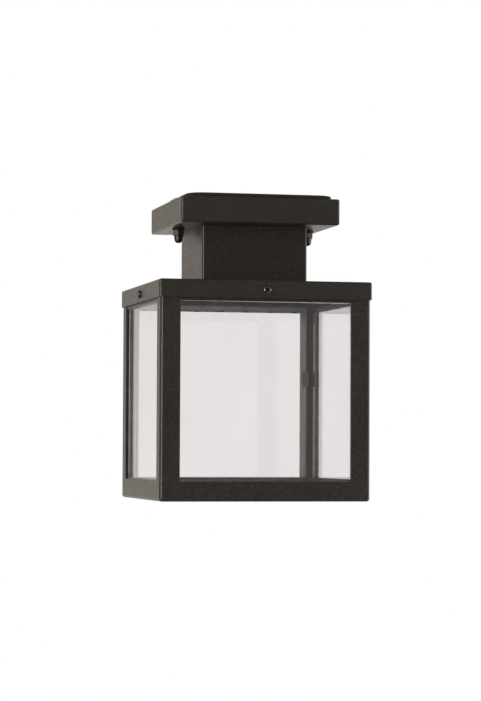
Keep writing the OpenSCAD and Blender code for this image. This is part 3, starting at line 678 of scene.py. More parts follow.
# %% [markdown]
# ## Rounding and turning
#
# Bevel rounds an edge, and with a profile of 0.5 the round is a true arc. It shrinks every round to the
# shortest edge beside it, so edges that lie flat in a face are dissolved first where that matters. Extruding
# gives its new points mixed with edges and faces, so one helper picks the points out.

# %% Helpers: rounding and turning
crisp_angle = 1.2


def crisp_edges(bm):
    """The edges where two faces meet at about a right angle."""
    return [e for e in bm.edges if len(e.link_faces) == 2 and e.calc_face_angle() > crisp_angle]


def round_edges(bm, edges, radius, segments, clamp=True):
    """Rounds edges with true arcs."""
    bmesh.ops.bevel(bm, geom=edges, offset=radius, offset_type="OFFSET", segments=segments, profile=0.5,
                    affect="EDGES", material=-1, clamp_overlap=clamp)


def turned(bm, degrees):
    """Turns a mesh round the lantern's axis."""
    turn = Matrix.Rotation(math.radians(degrees), 3, "Z")
    bmesh.ops.rotate(bm, cent=(0, 0, 0), matrix=turn, verts=bm.verts)


def points_of(geometry):
    """The points in what an operator gives back."""
    return [g for g in geometry if isinstance(g, bmesh.types.BMVert)]


def corners(d, level):
    """The four points at distance d along x and y."""
    return [Vector((sx * d, sy * d, level)) for sx in (-1, 1) for sy in (-1, 1)]


print("helpers for rounding and turning are ready")

# %% [markdown]
# ## Holes
#
# A round hole through a wall could be cut with a boolean modifier, but that leaves long slivers on thin
# sheet. Here a flat patch is taken out and filled again round the outline of each hole, once on each side of
# the wall, and each pair of outlines is bridged. A large square opening is made in the same way, or with an
# inset.

# %% Helpers: holes
def outline(bm, centre, half, normal, sides):
    """The edges of a circle of radius half, or of a square of that half width when sides is 4."""
    turn = normal.to_track_quat("Z", "Y").to_matrix().to_4x4()
    reach = half
    if sides == 4:
        turn = turn @ Matrix.Rotation(math.radians(45), 4, "Z")
        reach = half * math.sqrt(2)
    place = Matrix.Translation(centre) @ turn
    made = bmesh.ops.create_circle(bm, segments=sides, radius=reach, matrix=place)
    return list({e for v in made["verts"] for e in v.link_edges})


def pierce(bm, faces, holes, sides=32):
    """Fills a flat patch again with holes in it, each (centre, radius), and returns each hole's edges."""
    chosen = set(faces)
    normal = faces[0].normal.copy()
    edges = {e for f in faces for e in f.edges}
    rim = [e for e in edges if sum(f in chosen for f in e.link_faces) == 1]
    inner = [e for e in edges if e not in rim]
    bmesh.ops.delete(bm, geom=faces, context="FACES_ONLY")
    bmesh.ops.delete(bm, geom=inner, context="EDGES")
    rings = [outline(bm, centre, half, normal, sides) for centre, half in holes]
    bmesh.ops.triangle_fill(bm, use_beauty=True, use_dissolve=False, normal=normal,
                            edges=rim + [e for ring in rings for e in ring])
    return rings


def drill(bm, test, wall, holes):
    """Makes holes through a wall; wall is the step from the face that passes the test to the other face."""
    outer = pierce(bm, faces_where(bm, test), holes)
    inner = pierce(bm, faces_where(bm, lambda c: test(c - wall)), [(p + wall, radius) for p, radius in holes])
    for a, b in zip(outer, inner):
        bmesh.ops.bridge_loops(bm, edges=a + b)


def bridge_open_edges(bm):
    """Closes a mesh between its two open outlines."""
    bmesh.ops.bridge_loops(bm, edges=[e for e in bm.edges if e.is_boundary])


def hollow(bm, band):
    """Opens a slab right through and leaves a ring of a given width."""
    ends = faces_where(bm, lambda c: near(c.x, 0, 2 * mm) and near(c.y, 0))
    for face in ends:
        bmesh.ops.inset_region(bm, faces=[face], thickness=band, use_even_offset=True)
    bmesh.ops.delete(bm, geom=ends, context="FACES")
    bridge_open_edges(bm)


print("helpers for holes are ready")

# %% [markdown]
# ## Round bodies
#
# Spin turns a profile into a round body, but it can't make a hexagon that runs over into a barrel. A loft
# can: one circle of edges is extruded again and again, and each new ring is put at its own radius and level.

# %% Helpers: round bodies
def drawn_out(bm, edges):
    """Extrudes a loop of edges and returns the new loop's points and edges."""
    made = bmesh.ops.extrude_edge_only(bm, edges=edges)["geom"]
    verts = points_of(made)
    return verts, [e for e in made if isinstance(e, bmesh.types.BMEdge) and all(v in verts for v in e.verts)]


def loft(bm, rings, centre=(0, 0, 0), sides=48, capped=True):
    """A round body through rings of (radius, level); both may be functions, of the angle and the radius."""
    centre = Vector(centre)
    verts = bmesh.ops.create_circle(bm, segments=sides, radius=1, matrix=Matrix.Translation(centre))["verts"]
    edges = first = list({e for v in verts for e in v.link_edges})
    for i, (radius, level) in enumerate(rings):
        if i:
            verts, edges = drawn_out(bm, edges)
        for v in verts:
            angle = math.atan2(v.co.y - centre.y, v.co.x - centre.x)
            reach = radius(angle) if callable(radius) else radius
            height = level(reach) if callable(level) else level
            v.co = Vector((centre.x + reach * math.cos(angle), centre.y + reach * math.sin(angle), height))
    if capped:
        for loop in (first, edges):
            bmesh.ops.contextual_create(bm, geom=loop)
    else:
        bmesh.ops.bridge_loops(bm, edges=first + edges)


print("helpers for round bodies are ready")

# %% [markdown]
# ## From a mesh to a piece
#
# A skin gets its wall with solidify, whose positive thickness goes inwards once the faces point outwards. A
# finished mesh becomes an object that rides on the body of the node it stands for and takes that node's
# finish. Its shading is smooth, with sharp edges kept by their angle, and normals weighted by area keep the
# flats flat.

# %% Helpers: walls and pieces
weld_reach = 0.001 * mm


def mend(bm):
    """Merges doubled points and turns the faces outwards."""
    bmesh.ops.remove_doubles(bm, verts=bm.verts, dist=weld_reach)
    bmesh.ops.recalc_face_normals(bm, faces=bm.faces)


def thicken(bm, wall):
    """Gives a skin its wall, inwards from its outer face."""
    mend(bm)
    bmesh.ops.solidify(bm, geom=bm.faces[:], thickness=wall)


def pour_into(whole, bm):
    """Adds a mesh to another one and frees it."""
    part = bpy.data.meshes.new("part")
    bm.to_mesh(part)
    bm.free()
    whole.from_mesh(part)
    bpy.data.meshes.remove(part)


def new_piece(name, bm, *nodes, sharp=32, soften=0):
    """Makes a bmesh a piece that stands for CAD nodes, rides on their body and takes their finish."""
    bmesh.ops.recalc_face_normals(bm, faces=bm.faces)
    loose = sum(not e.is_manifold for e in bm.edges)
    mesh = bpy.data.meshes.new(name)
    bm.to_mesh(mesh)
    bm.free()
    mesh.shade_smooth()
    mesh.set_sharp_from_angle(angle=math.radians(sharp))
    piece = bpy.data.objects.new(name, mesh)
    bpy.context.scene.collection.objects.link(piece)
    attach(piece, body_of[nodes[0]])
    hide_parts(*nodes)
    mesh.materials.append(finishes.get(nodes[0], finishes[slot_of[nodes[0]]]))
    if soften:
        edge = piece.modifiers.new("soften_edges", "BEVEL")
        edge.width, edge.segments, edge.angle_limit = soften, 2, math.radians(35)
    flatten = piece.modifiers.new("keep_flats_flat", "WEIGHTED_NORMAL")
    flatten.keep_sharp = True
    flatten.weight = 100
    print(f"{name}: {len(mesh.polygons)} faces, {loose} open edges, stands for {', '.join(nodes)}")
    return piece


print("helpers for walls and pieces are ready")

# %% [markdown]
# ## Sizes that several pieces share
#
# The frame gives each node's corners, and everything else follows from a few sheet and bar sizes.

# %% Shared sizes
def middle_of(node):
    """The middle of a node's box."""
    low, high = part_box(node)
    return (low + high) / 2


canopy_low, canopy_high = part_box("canopy")
neck_low, neck_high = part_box("neck_tube")
roof_low, roof_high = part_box("roof_cap")
cage_low, cage_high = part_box("front_frame")
pane_low, pane_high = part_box("front_pane")

sheet_t = 1.2 * mm
roof_t = 0.8 * mm
frame_t = cage_high.y - cage_low.y
cage_out = cage_high.x
cage_in = cage_out - frame_t
member_w = 14.7 * mm
rail_recess = 0.8 * mm
window_half = cage_out - member_w
window_low = cage_low.z + member_w
window_high = pane_high.z - pane_lap
screw_level = middle_of("side_screw_front").z
stud_at = middle_of("cap_nut_right").x
neck_screw_head_r = 3.7 * mm
neck_screw_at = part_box("neck_screws")[1].x - neck_screw_head_r
print(f"window {2 * window_half / mm:.1f} mm wide and {(window_high - window_low) / mm:.1f} mm high, "
      f"side screws at {screw_level / mm:.1f} mm")

# %% [markdown]
# ## The canopy
#
# A real canopy is one steel blank, folded up on four sides, with a narrow lip turned in at the top. So it is
# made as that skin: a box with rounded folds, whose top is opened inside the lip. The wall is added after the
# folds are rounded, so the inside of each fold follows its outside, as in bent sheet. Then the floor is
# drilled for the studs, the neck's screws and the wire bush.

# %% Canopy
canopy_lip = 5 * mm
fold_r = 1.6 * mm
stud_hole_r = 2.4 * mm
screw_hole_r = 2.2 * mm
bush_hole_r = 5.5 * mm
bush_y = 18 * mm

bm = box_mesh(canopy_low, canopy_high)
round_edges(bm, bm.edges[:], fold_r, 4)
top = faces_where(bm, lambda c: near(c.z, canopy_high.z))
pierce(bm, top, [(Vector((0, 0, canopy_high.z)), canopy_high.x - canopy_lip)], sides=4)
thicken(bm, sheet_t)
holes = [(Vector((side * stud_at, 0, canopy_low.z)), stud_hole_r) for side in (-1, 1)]
holes += [(p, screw_hole_r) for p in corners(neck_screw_at, canopy_low.z)]
holes += [(Vector((0, bush_y, canopy_low.z)), bush_hole_r)]
drill(bm, lambda c: near(c.z, canopy_low.z) and near(c.x, 0), Vector((0, 0, sheet_t)), holes)
new_piece("canopy_pan", bm, "canopy")

# %% [markdown]
# ## The neck
#
# The neck is a square tube with a flange turned in at each end, where it is screwed to the canopy and to the
# roof. It is a box that is open inside both flanges. The tube's own corners are as round as the canopy's
# folds, and the flanges are turned in more sharply, so that they lie close against both.

# %% Neck
neck_flange = 9 * mm
neck_fold_r = 0.4 * mm

bm = box_mesh(neck_low, neck_high)
round_edges(bm, [e for e in bm.edges if upright(e)], fold_r, 4)
round_edges(bm, edges_where(bm, lambda p: near(p.z, neck_low.z) or near(p.z, neck_high.z)), neck_fold_r, 2)
for level in (neck_low.z, neck_high.z):
    end = faces_where(bm, lambda c: near(c.z, level))
    pierce(bm, end, [(Vector((0, 0, level)), neck_high.x - neck_flange)], sides=4)
thicken(bm, sheet_t)
for level, inward in ((neck_low.z, sheet_t), (neck_high.z, -sheet_t)):
    drill(bm, lambda c: near(c.z, level) and c.xy.length > 1 * mm, Vector((0, 0, inward)),
          [(p, screw_hole_r) for p in corners(neck_screw_at, level)])
new_piece("neck_sleeve", bm, "neck_tube")

# %% [markdown]
# ## The roof cap
#
# The roof is folded from thinner steel. Its rim is bent down on all four sides, and beside each corner the
# rims of the left and right sides stop at an open slit, where they meet the return of the front and rear
# ones. The slits are cut in the skin as narrow strips that end just under the roof. Then the wall is added,
# and the screw holes are drilled through it.

# %% Roof cap
slit_w = 0.9 * mm
slit_at = roof_high.y - 3 * mm
slit_top = roof_high.z - roof_t - 0.4 * mm
side_hole_r = 1.7 * mm


def on_side_rim(c):
    """Whether a point lies on the outer face of the left or right rim."""
    return near(abs(c.x), roof_high.x)


def in_slit(c):
    """Whether a point lies in one of the strips that become slits."""
    return on_side_rim(c) and slit_at < abs(c.y) < slit_at + slit_w


bm = box_mesh(roof_low, roof_high)
bmesh.ops.delete(bm, geom=faces_where(bm, lambda c: near(c.z, roof_low.z)), context="FACES_ONLY")
folded = [e for e in bm.edges if not near(e.verts[0].co.z + e.verts[1].co.z, 2 * roof_low.z)]
round_edges(bm, folded, fold_r, 4)
for side in (-1, 1):
    for edge in (slit_at, slit_at + slit_w):
        slice_at(bm, "y", side * edge, faces_where(bm, on_side_rim))
slice_at(bm, "z", slit_top, faces_where(bm, in_slit))
strips = faces_where(bm, lambda c: in_slit(c) and c.z < slit_top)
bmesh.ops.delete(bm, geom=strips, context="FACES")
thicken(bm, roof_t)
drill(bm, lambda c: near(c.z, roof_high.z) and near(c.x, 0), Vector((0, 0, -roof_t)),
      [(p, screw_hole_r) for p in corners(neck_screw_at, roof_high.z)])
for way in (Vector((1, 0, 0)), Vector((-1, 0, 0)), Vector((0, 1, 0)), Vector((0, -1, 0))):
    across = Vector((-way.y, way.x, 0))
    screw_hole = (Vector((0, 0, screw_level)) + way * roof_high.x, side_hole_r)
    drill(bm, lambda c: near(c @ way, roof_high.x) and near(c @ across, 0), -roof_t * way, [screw_hole])
new_piece("roof_shell", bm, "roof_cap")

# %% [markdown]
# ## The four frames
#
# Each side of the cage is a flat frame cut from thick steel plate. The front and rear frames are full width
# and cover the edges of the side frames, so a seam shows beside each corner. The side frames end a little
# short, which leaves the dark line of a shadow gap. The top rails stand back a little, to slide under the
# roof's rim.
#
# The plate starts at the depth of that recess. Slicing it on the window's lines gives the window to delete,
# and the rest of its face is pushed out again, which leaves the top rail behind. All four are made on the
# front of the cage and then turned to their side.

# %% Frames: the plate and its window
front_y = -cage_out
recess_y = front_y + rail_recess
back_y = front_y + frame_t


def above_window(c):
    """Whether a point lies on the top rail, between the uprights."""
    return abs(c.x) < window_half and c.z > window_high


def frame_plate(half):
    """A plate of a given half width with a window, whose top rail stands back."""
    bm = box_mesh((-half, recess_y, cage_low.z), (half, back_y, cage_high.z))
    for x in (-window_half, window_half):
        slice_at(bm, "x", x)
    for z in (window_low, window_high):
        slice_at(bm, "z", z)
    window = faces_where(bm, lambda c: abs(c.x) < window_half and window_low < c.z < window_high)
    bmesh.ops.delete(bm, geom=window, context="FACES")
    bridge_open_edges(bm)
    face = faces_where(bm, lambda c: near(c.y, recess_y) and not above_window(c))
    pushed = bmesh.ops.extrude_face_region(bm, geom=face)["geom"]
    bmesh.ops.delete(bm, geom=face, context="FACES_ONLY")
    bmesh.ops.translate(bm, vec=(0, -rail_recess, 0), verts=points_of(pushed))
    bmesh.ops.delete(bm, geom=[e for e in bm.edges if not e.link_faces], context="EDGES")
    return bm


print("frame plates are", round(frame_t / mm, 1), "mm thick")

# %% [markdown]
# ## The notch in a top rail
#
# An open notch clears the side screw, so that the cage can drop without the screw coming out. It is a slot
# whose bottom is rounded with a bevel almost as wide as half the slot, which makes it nearly a half circle.

# %% Frames: the notch
notch_r = 1.9 * mm
notch_bottom = screw_level - notch_r


def cut_notch(bm):
    """Cuts the notch down from the top rail's upper edge and rounds its bottom."""
    for x in (-notch_r, notch_r):
        slice_at(bm, "x", x, faces_where(bm, above_window))
    slice_at(bm, "z", notch_bottom, faces_where(bm, lambda c: abs(c.x) < notch_r and c.z > window_high))
    notch = faces_where(bm, lambda c: abs(c.x) < notch_r and c.z > notch_bottom)
    bmesh.ops.delete(bm, geom=notch, context="FACES")
    bmesh.ops.bridge_loops(bm, edges=[e for e in bm.edges if e.is_boundary and keeps(e, "y")])
    foot = edges_where(bm, lambda p: near(abs(p.x), notch_r) and near(p.z, notch_bottom))
    round_edges(bm, [e for e in foot if not keeps(e, "y")], 0.96 * notch_r, 5)


print("notches are", round(2 * notch_r / mm, 1), "mm wide")

# %% [markdown]
# ## Ground edges
#
# The lower front edge of each frame is ground round, and so are the outer edges of the full-width ones, which
# is where the light line at the cage's corners comes from. Every other edge only loses its burr. Flat edges
# left over from slicing are dissolved first, because they would hold the rounds down to their own length.

# %% Frames: ground edges, and all four made
foot_r = 2.1 * mm
burr = 0.22 * mm
shadow_gap = 0.7 * mm


def grind_edges(bm, half, full_width):
    """Rounds the plate's soft edges and takes the burr off the others."""
    mend(bm)
    bmesh.ops.dissolve_limit(bm, angle_limit=0.001, verts=bm.verts, edges=bm.edges)
    soft = edges_where(bm, lambda p: near(p.z, cage_low.z) and near(p.y, front_y))
    if full_width:
        for meets in (lambda p: near(p.z, cage_low.z), lambda p: near(p.y, front_y)):
            outer = edges_where(bm, lambda p: near(abs(p.x), half) and meets(p))
            soft += [e for e in outer if keeps(e, "x")]
    round_edges(bm, soft, foot_r, 4)
    round_edges(bm, crisp_edges(bm), burr, 2, clamp=False)
    bmesh.ops.dissolve_degenerate(bm, dist=0.01 * mm, edges=bm.edges)


side_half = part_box("left_frame")[1].y - shadow_gap
for name, half, full_width, turn in (("front", cage_out, True, 0), ("right", side_half, False, 90),
                                     ("rear", cage_out, True, 180), ("left", side_half, False, 270)):
    bm = frame_plate(half)
    cut_notch(bm)
    grind_edges(bm, half, full_width)
    turned(bm, turn)
    new_piece(f"{name}_frame_plate", bm, f"{name}_frame")

# %% [markdown]
# ## The ledge inside the bottom rails
#
# A flat square ring is welded inside the bottom rails and carries the bottom pane. It is a slab, opened right
# through and left as a ring, and its edges only lose their burr.

# %% Bottom ledge
ledge_low, ledge_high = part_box("bottom_ring")
ledge_w = 12 * mm
ledge_burr = 0.15 * mm

bm = box_mesh(ledge_low, ledge_high)
hollow(bm, ledge_w)
round_edges(bm, crisp_edges(bm), ledge_burr, 2)
new_piece("bottom_ledge", bm, "bottom_ring")

# %% [markdown]
# ## The panes
#
# Float glass is cut, and its sharp edges are taken off with a stone, which leaves a narrow matt arris. Each
# pane is a full slab with that arris, because the bright line along a pane's edge comes from there.

# %% Panes
arris = 0.3 * mm

for name in ("front", "rear", "left", "right", "bottom"):
    low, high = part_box(f"{name}_pane")
    bm = box_mesh(low, high)
    round_edges(bm, bm.edges[:], arris, 1)
    new_piece(f"{name}_glass", bm, f"{name}_pane", sharp=20)

# %% [markdown]
# ## The sealant
#
# The bead between a pane and its frame was squeezed flat, and its free edge isn't straight. Above a window
# it draws back in a low hump every 20 mm, where one push of the gun ended and the next began. On the front it
# runs a little past the rail instead, so a thin bright line shows under it. Below the other windows it stands
# about a millimetre above the rail, in a darker and browner tone. One function says where the free edge runs:
# humps at an even pitch, a creep past the rail, and a little noise, which is the same on each run.

# %% Sealant: where its free edge runs
bead_margin = 0.6 * mm
hump_pitch = 19.8 * mm
hump_height = 1.3 * mm
hump_share = 0.2
hump_start = 0.47
coarse_wave, fine_wave = 5 * mm, 2 * mm
wave_share = 0.35
pane_half = pane_high.x


def draw_back(along, humps, creep, seed):
    """How far the free edge stands back from the window's edge, at a place along it."""
    phase = (along / hump_pitch + hump_start) % 1
    hump = max(0, 1 - abs(phase - 0.5) / hump_share)
    creep *= 0.6 + 0.4 * along / window_half
    coarse = noise.noise(Vector((along / coarse_wave, seed, 0)))
    fine = noise.noise(Vector((along / fine_wave, seed, 7)))
    return humps * hump_height * hump - creep + wave_share * creep * (coarse + 0.5 * fine)


print("a hump every", round(hump_pitch / mm, 1), "mm")

# %% [markdown]
# ## The beads
#
# Each bead is one flat face, inset to a ring, with its edges cut into short pieces. The points on the free
# edge are then moved as the function above says, and the ring gets its thickness. A square ring lies under
# the bottom pane. All of them are poured into one piece, as they are one node.

# %% Sealant: the beads
bead_cuts = 96
sealant_t = 0.36 * mm
sealant_gap = 0.02 * mm
upright_humps, upright_creep, sill_creep = 0.15, 0.25 * mm, 0.15 * mm


def bead(depth, humps, creep, rise, seed):
    """A flat bead on the front of the cage, with its free edge near the window's edge."""
    half, low, high = pane_half - bead_margin, pane_low.z + bead_margin, pane_high.z - bead_margin
    bm = bmesh.new()
    bmesh.ops.create_grid(bm, x_segments=1, y_segments=1, size=1)
    for v in bm.verts:
        v.co = Vector((v.co.x * half, depth, (low + high) / 2 + v.co.y * (high - low) / 2))
    bm.normal_update()
    face = bm.faces[:]
    bmesh.ops.inset_region(bm, faces=face, thickness=pane_lap - bead_margin, use_even_offset=True,
                           use_boundary=True)
    bmesh.ops.delete(bm, geom=face, context="FACES")
    free = [e for e in bm.edges if e.is_boundary]
    bmesh.ops.subdivide_edges(bm, edges=free, cuts=bead_cuts, use_grid_fill=True)
    for v in bm.verts:
        beside = near(abs(v.co.x), window_half)
        above, below = near(v.co.z, window_high), near(v.co.z, window_low)
        across, up = v.co.x, v.co.z
        if beside and window_low <= up <= window_high:
            v.co.x += math.copysign(draw_back(up, upright_humps, upright_creep, seed), across)
        if above and abs(across) <= window_half:
            v.co.z += draw_back(across, humps, creep, seed + 3)
        if below and abs(across) <= window_half:
            v.co.z += rise + draw_back(across, 0, sill_creep, seed + 5)
    return bm


front_bead = (0, 0, 0.55 * mm, -3.7 * mm)
right_bead = (90, 0.3, 0.25 * mm, 1.2 * mm)
rear_bead = (180, 1, 0.05 * mm, 1.2 * mm)
left_bead = (270, 0.3, 0.25 * mm, 1.2 * mm)
beads = bmesh.new()
for turn, humps, creep, rise in (front_bead, right_bead, rear_bead, left_bead):
    bm = bead(-cage_in + sealant_gap, humps, creep, rise, turn)
    thicken(bm, sealant_t)
    turned(bm, turn)
    pour_into(beads, bm)

bottom_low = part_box("bottom_pane")[0]
under_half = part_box("bottom_pane")[1].x - bead_margin
bm = box_mesh((-under_half, -under_half, ledge_high.z + sealant_gap),
              (under_half, under_half, bottom_low.z - sealant_gap))
hollow(bm, under_half - (ledge_high.x - ledge_w))
pour_into(beads, bm)
new_piece("sealant_beads", beads, "pane_sealant")

# %% [markdown]
# ## A fillet in one corner
#
# The rear left corner was filled with a thick run of sealant, over the corner angle, the edges of both panes
# and the feet of their tabs. Its section has seven corners and is the same when x and y change places. It is
# one face made from those points, drawn up to the height of the panes.

# %% Corner fillet
angle_t = 1.0 * mm
fillet_back = cage_in - angle_t
fillet_side = pane_half + 0.05 * mm
fillet_front = -pane_high.y - 0.03 * mm
fillet_reach = 6.5 * mm

half_section = [(fillet_side, fillet_back), (fillet_side, fillet_front),
                (fillet_front - fillet_reach, fillet_front)]
section = [(fillet_back, fillet_back)] + half_section + [(y, x) for x, y in reversed(half_section)]
bm = bmesh.new()
corner_points = [bm.verts.new((-x, y, pane_low.z)) for x, y in section]
bmesh.ops.contextual_create(bm, geom=corner_points)
drawn = bmesh.ops.extrude_face_region(bm, geom=bm.faces[:])["geom"]
bmesh.ops.translate(bm, vec=(0, 0, pane_high.z - pane_low.z), verts=points_of(drawn))
fillet = new_piece("corner_fillet", bm, "pane_sealant")
fillet.material_slots[0].material = fillet_sealant

# %% [markdown]
# ## The foam seal on the ceiling
#
# The seal is cut from foam sheet and pressed between canopy and ceiling, so its edges are soft. It was cut by
# hand: its left side lies a little further in than the others. It has a notch on each side for the ends of
# the crossbar. The left side is so short that its notch goes right through, so the two cut ends are filled
# there, and the notch on the right is bridged.

# %% Ceiling seal
seal_low, seal_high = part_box("ceiling_gasket")
bar_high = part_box("mounting_crossbar")[1]
seal_r = 13 * mm
seal_band = 7.1 * mm
cut_short = 3.2 * mm
bar_gap = 0.3 * mm

bm = box_mesh(seal_low + Vector((cut_short, 0, 0)), seal_high)
round_edges(bm, [e for e in bm.edges if upright(e)], seal_r, 12)
hollow(bm, seal_band)
notch_x, notch_y = bar_high.x + bar_gap, bar_high.y + bar_gap
for y in (-notch_y, notch_y):
    slice_at(bm, "y", y)
for side in (-1, 1):
    slice_at(bm, "x", side * notch_x, faces_where(bm, lambda c: c.x * side > 0 and abs(c.y) < notch_y))
    notch = faces_where(bm, lambda c: 0 < c.x * side < notch_x and abs(c.y) < notch_y)
    bmesh.ops.delete(bm, geom=notch, context="FACES")
    cut_edges = [e for e in bm.edges if e.is_boundary]
    if side < 0:
        bmesh.ops.holes_fill(bm, edges=cut_edges, sides=4)
    else:
        bmesh.ops.bridge_loops(bm, edges=[e for e in cut_edges if keeps(e, "z")])
new_piece("ceiling_seal", bm, "ceiling_gasket", soften=0.6 * mm)

# %% [markdown]
# ## Cap nuts
#
# A cap nut is turned from hexagon bar: a chamfered hexagon, a slightly tapered barrel and a round end, with a
# blind hole for the stud. It is lofted through rings of points. On the hexagon the radius changes with the
# angle, and the chamfer's level follows the radius, which draws the curved edge that every real nut has.

# %% Cap nuts
nut_half_w = 4.0 * mm
nut_hex_h = 4.4 * mm
nut_face_r = 3.75 * mm
nut_turn = 17
barrel_top_r, barrel_tip_r, dome_r = 3.5 * mm, 3.0 * mm, 2.4 * mm
bore_r, bore_end = 2.15 * mm, 2.2 * mm
chamfer_slope = math.tan(math.radians(30))


def hexagon(angle):
    """The radius of a hexagon at an angle."""
    return nut_half_w / math.cos(angle % math.radians(60) - math.radians(30))


for side in ("left", "right"):
    node = f"cap_nut_{side}"
    low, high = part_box(node)
    middle, face, tip = middle_of(node), high.z, low.z
    curve = [math.radians(a) for a in (0, 22, 45, 68, 90)]
    rings = [(bore_r, tip + bore_end), (bore_r, face), (nut_face_r, face),
             (hexagon, lambda r: face - (r - nut_face_r) * chamfer_slope),
             (hexagon, lambda r: face - nut_hex_h + (r - nut_face_r) * chamfer_slope),
             (nut_face_r, face - nut_hex_h), (barrel_top_r, face - nut_hex_h)]
    rings += [(barrel_tip_r - dome_r * (1 - math.cos(a)), tip + dome_r * (1 - math.sin(a))) for a in curve]
    bm = bmesh.new()
    loft(bm, rings)
    turned(bm, nut_turn)
    bmesh.ops.translate(bm, vec=(middle.x, middle.y, 0), verts=bm.verts)
    new_piece(f"domed_nut_{side}", bm, node, soften=0.12 * mm)

# %% [markdown]
# ## Washers
#
# The washers are stamped from rubber, so their edges are a little round. Each is lofted round the section of
# its ring and closed on itself instead of capped.

# %% Washers
low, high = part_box("nut_washers")
washer_r, washer_bore_r, washer_edge = (high.y - low.y) / 2, 2.3 * mm, 0.25 * mm

bm = bmesh.new()
for side in (-1, 1):
    loft(bm, [(washer_bore_r, high.z), (washer_r - washer_edge, high.z), (washer_r, high.z - washer_edge),
              (washer_r, low.z + washer_edge), (washer_r - washer_edge, low.z), (washer_bore_r, low.z)],
         centre=(side * stud_at, 0, 0), capped=False)
new_piece("rubber_washers", bm, "nut_washers")

# %% [markdown]
# ## Studs
#
# A thread is a helix, but under a nut nobody sees where it starts. Rings that step in and out at its pitch
# look the same and close cleanly.

# %% Studs
def thread_rings(radius, depth, pitch, start, end):
    """Rings that step in and out between two levels."""
    turns = int(abs(end - start) / pitch)
    step = math.copysign(pitch, end - start)
    rings = []
    for i in range(turns):
        rings += [(radius, start + step * (i + 0.3)), (radius - depth, start + step * (i + 0.75))]
    return rings


low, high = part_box("canopy_studs")
stud_r, stud_point = (high.y - low.y) / 2, 0.5 * mm
stud_pitch, stud_thread = 0.8 * mm, 0.3 * mm

bm = bmesh.new()
for side in (-1, 1):
    rings = [(stud_r - stud_point, high.z)]
    rings += thread_rings(stud_r, stud_thread, stud_pitch, high.z, low.z + stud_point)
    loft(bm, rings + [(stud_r - stud_point, low.z)], centre=(side * stud_at, 0, 0), sides=32)
new_piece("threaded_studs", bm, "canopy_studs")

# %% [markdown]
# ## A pan head with a cross recess
#
# The head has a wide round shoulder. Its flat middle is filled again round the outline of a cross, and the
# cross is pushed in and drawn together, as a driver's point is tapered.

# %% Pan-head screw
low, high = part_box("side_screw_front")
head_r, head_h, shoulder_r = (high.x - low.x) / 2, 2.2 * mm, 1.5 * mm
shank_r, shank_len = 1.5 * mm, high.y - low.y - head_h
shank_point, plain_neck = 0.5 * mm, 0.4 * mm
screw_pitch, screw_thread = 0.5 * mm, 0.22 * mm
arm_long, arm_half, recess_deep, recess_taper = 1.55 * mm, 0.42 * mm, 1.5 * mm, 0.6


def cross_outline(bm, level):
    """The edges of a cross with four arms."""
    corner = (arm_half, arm_half, 0)
    points = []
    for turn in range(0, 360, 90):
        around = Matrix.Rotation(math.radians(turn), 3, "Z")
        points += [around @ Vector(p) for p in ((arm_long, -arm_half, 0), (arm_long, arm_half, 0), corner)]
    verts = [bm.verts.new(p + Vector((0, 0, level))) for p in points]
    return [bm.edges.new((verts[i - 1], verts[i])) for i in range(len(verts))]


def pan_screw():
    """A screw with the underside of its head on z = 0 and its shank below."""
    bm = bmesh.new()
    curve = [math.radians(a) for a in (0, 18, 36, 54, 72, 90)]
    flat_r = head_r - shoulder_r
    shank = thread_rings(shank_r, screw_thread, screw_pitch, -shank_len + shank_point, -plain_neck)
    head = [(flat_r + shoulder_r * math.cos(a), head_h - shoulder_r * (1 - math.sin(a))) for a in curve]
    loft(bm, [(shank_r - shank_point, -shank_len)] + shank + [(shank_r, 0), (head_r, 0)] + head, sides=40)
    top = faces_where(bm, lambda c: near(c.z, head_h) and c.xy.length < 0.1 * mm)
    rim = [e for f in top for e in f.edges]
    bmesh.ops.delete(bm, geom=top, context="FACES_ONLY")
    cross = cross_outline(bm, head_h)
    bmesh.ops.triangle_fill(bm, use_beauty=True, use_dissolve=False, normal=(0, 0, 1), edges=rim + cross)
    pushed, recess_floor = drawn_out(bm, cross)
    bmesh.ops.translate(bm, vec=(0, 0, -recess_deep), verts=pushed)
    bmesh.ops.scale(bm, vec=(recess_taper, recess_taper, 1), verts=pushed)
    bmesh.ops.contextual_create(bm, geom=recess_floor)
    return bm


print("screw heads are", round(2 * head_r / mm, 1), "mm wide")

# %% [markdown]
# ## The side screws
#
# Each screw is made upright, laid against the front rim and turned to its side. A screw stops where it is
# tight, so every recess stands at an angle of its own.

# %% Side screws
recess_turn = {"front": 45, "rear": 12, "left": 10, "right": 62}
on_front = Matrix.Translation((0, -roof_high.x, screw_level)) @ Matrix.Rotation(math.radians(90), 4, "X")

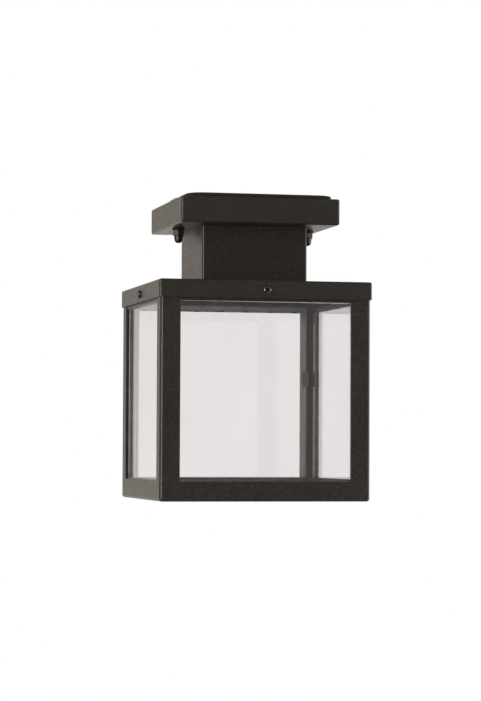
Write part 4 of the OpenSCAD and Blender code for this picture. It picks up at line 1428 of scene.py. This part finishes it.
for side, turn in (("front", 0), ("right", 90), ("rear", 180), ("left", 270)):
    bm = pan_screw()
    spin = Matrix.Rotation(math.radians(recess_turn[side]), 4, "Z")
    bmesh.ops.transform(bm, matrix=on_front @ spin, verts=bm.verts)
    turned(bm, turn)
    new_piece(f"cross_screw_{side}", bm, f"side_screw_{side}")

# %% [markdown]
# ## The nodes that keep their shape
#
# The inner screws, the leads, the terminal block, the driver and the light are right as they are. They only
# get their finishes. Their meshes are loose triangles with flat shading, which would show facets on round
# parts. A small geometry node tree, used as a modifier, welds the triangles for shading and keeps the real
# edges crisp. No point is moved.

# %% Finishes for the nodes that stay
crisp_from = math.radians(30)


def round_shading():
    """A geometry node tree that shades a mesh smooth, apart from edges sharper than crisp_from."""
    tree = bpy.data.node_groups.new("round_shading", "GeometryNodeTree")
    for way in ("INPUT", "OUTPUT"):
        tree.interface.new_socket("Geometry", in_out=way, socket_type="NodeSocketGeometry")
    source = tree.nodes.new("NodeGroupInput").outputs[0]
    weld = wire(tree, "GeometryNodeMergeByDistance", Geometry=source, Distance=weld_reach)
    smooth = wire(tree, "GeometryNodeSetShadeSmooth", Geometry=weld.outputs[0], Shade_Smooth=True)
    angle = tree.nodes.new("GeometryNodeInputMeshEdgeAngle").outputs["Unsigned Angle"]
    gentle = maths(tree, "LESS_THAN", angle, crisp_from)
    edges = wire(tree, "GeometryNodeSetShadeSmooth", Geometry=smooth.outputs[0], Shade_Smooth=gentle)
    edges.domain = "EDGE"
    wire(tree, "NodeGroupOutput", Geometry=edges.outputs[0])
    return tree


shading = round_shading()
kept = [node for node, part in frame["nodes"].items() if not part.hide_render]
for node in kept:
    part = frame["nodes"][node]
    finish = finishes.get(node, finishes[slot_of[node]])
    if not part.material_slots:
        part.data.materials.append(finish)
    for slot in part.material_slots:
        slot.material = finish
    part.modifiers.new("round_shading", "NODES").node_group = shading
print(len(kept), "nodes keep their shape:", ", ".join(kept))

# %% [markdown]
# ## Look and size
#
# The picture uses the Standard view, so that a colour is shown as it is. The last lines measure the bounds
# of the dressed model.

# %% View, size and finish
bpy.context.scene.view_settings.view_transform = "Standard"
low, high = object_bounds()
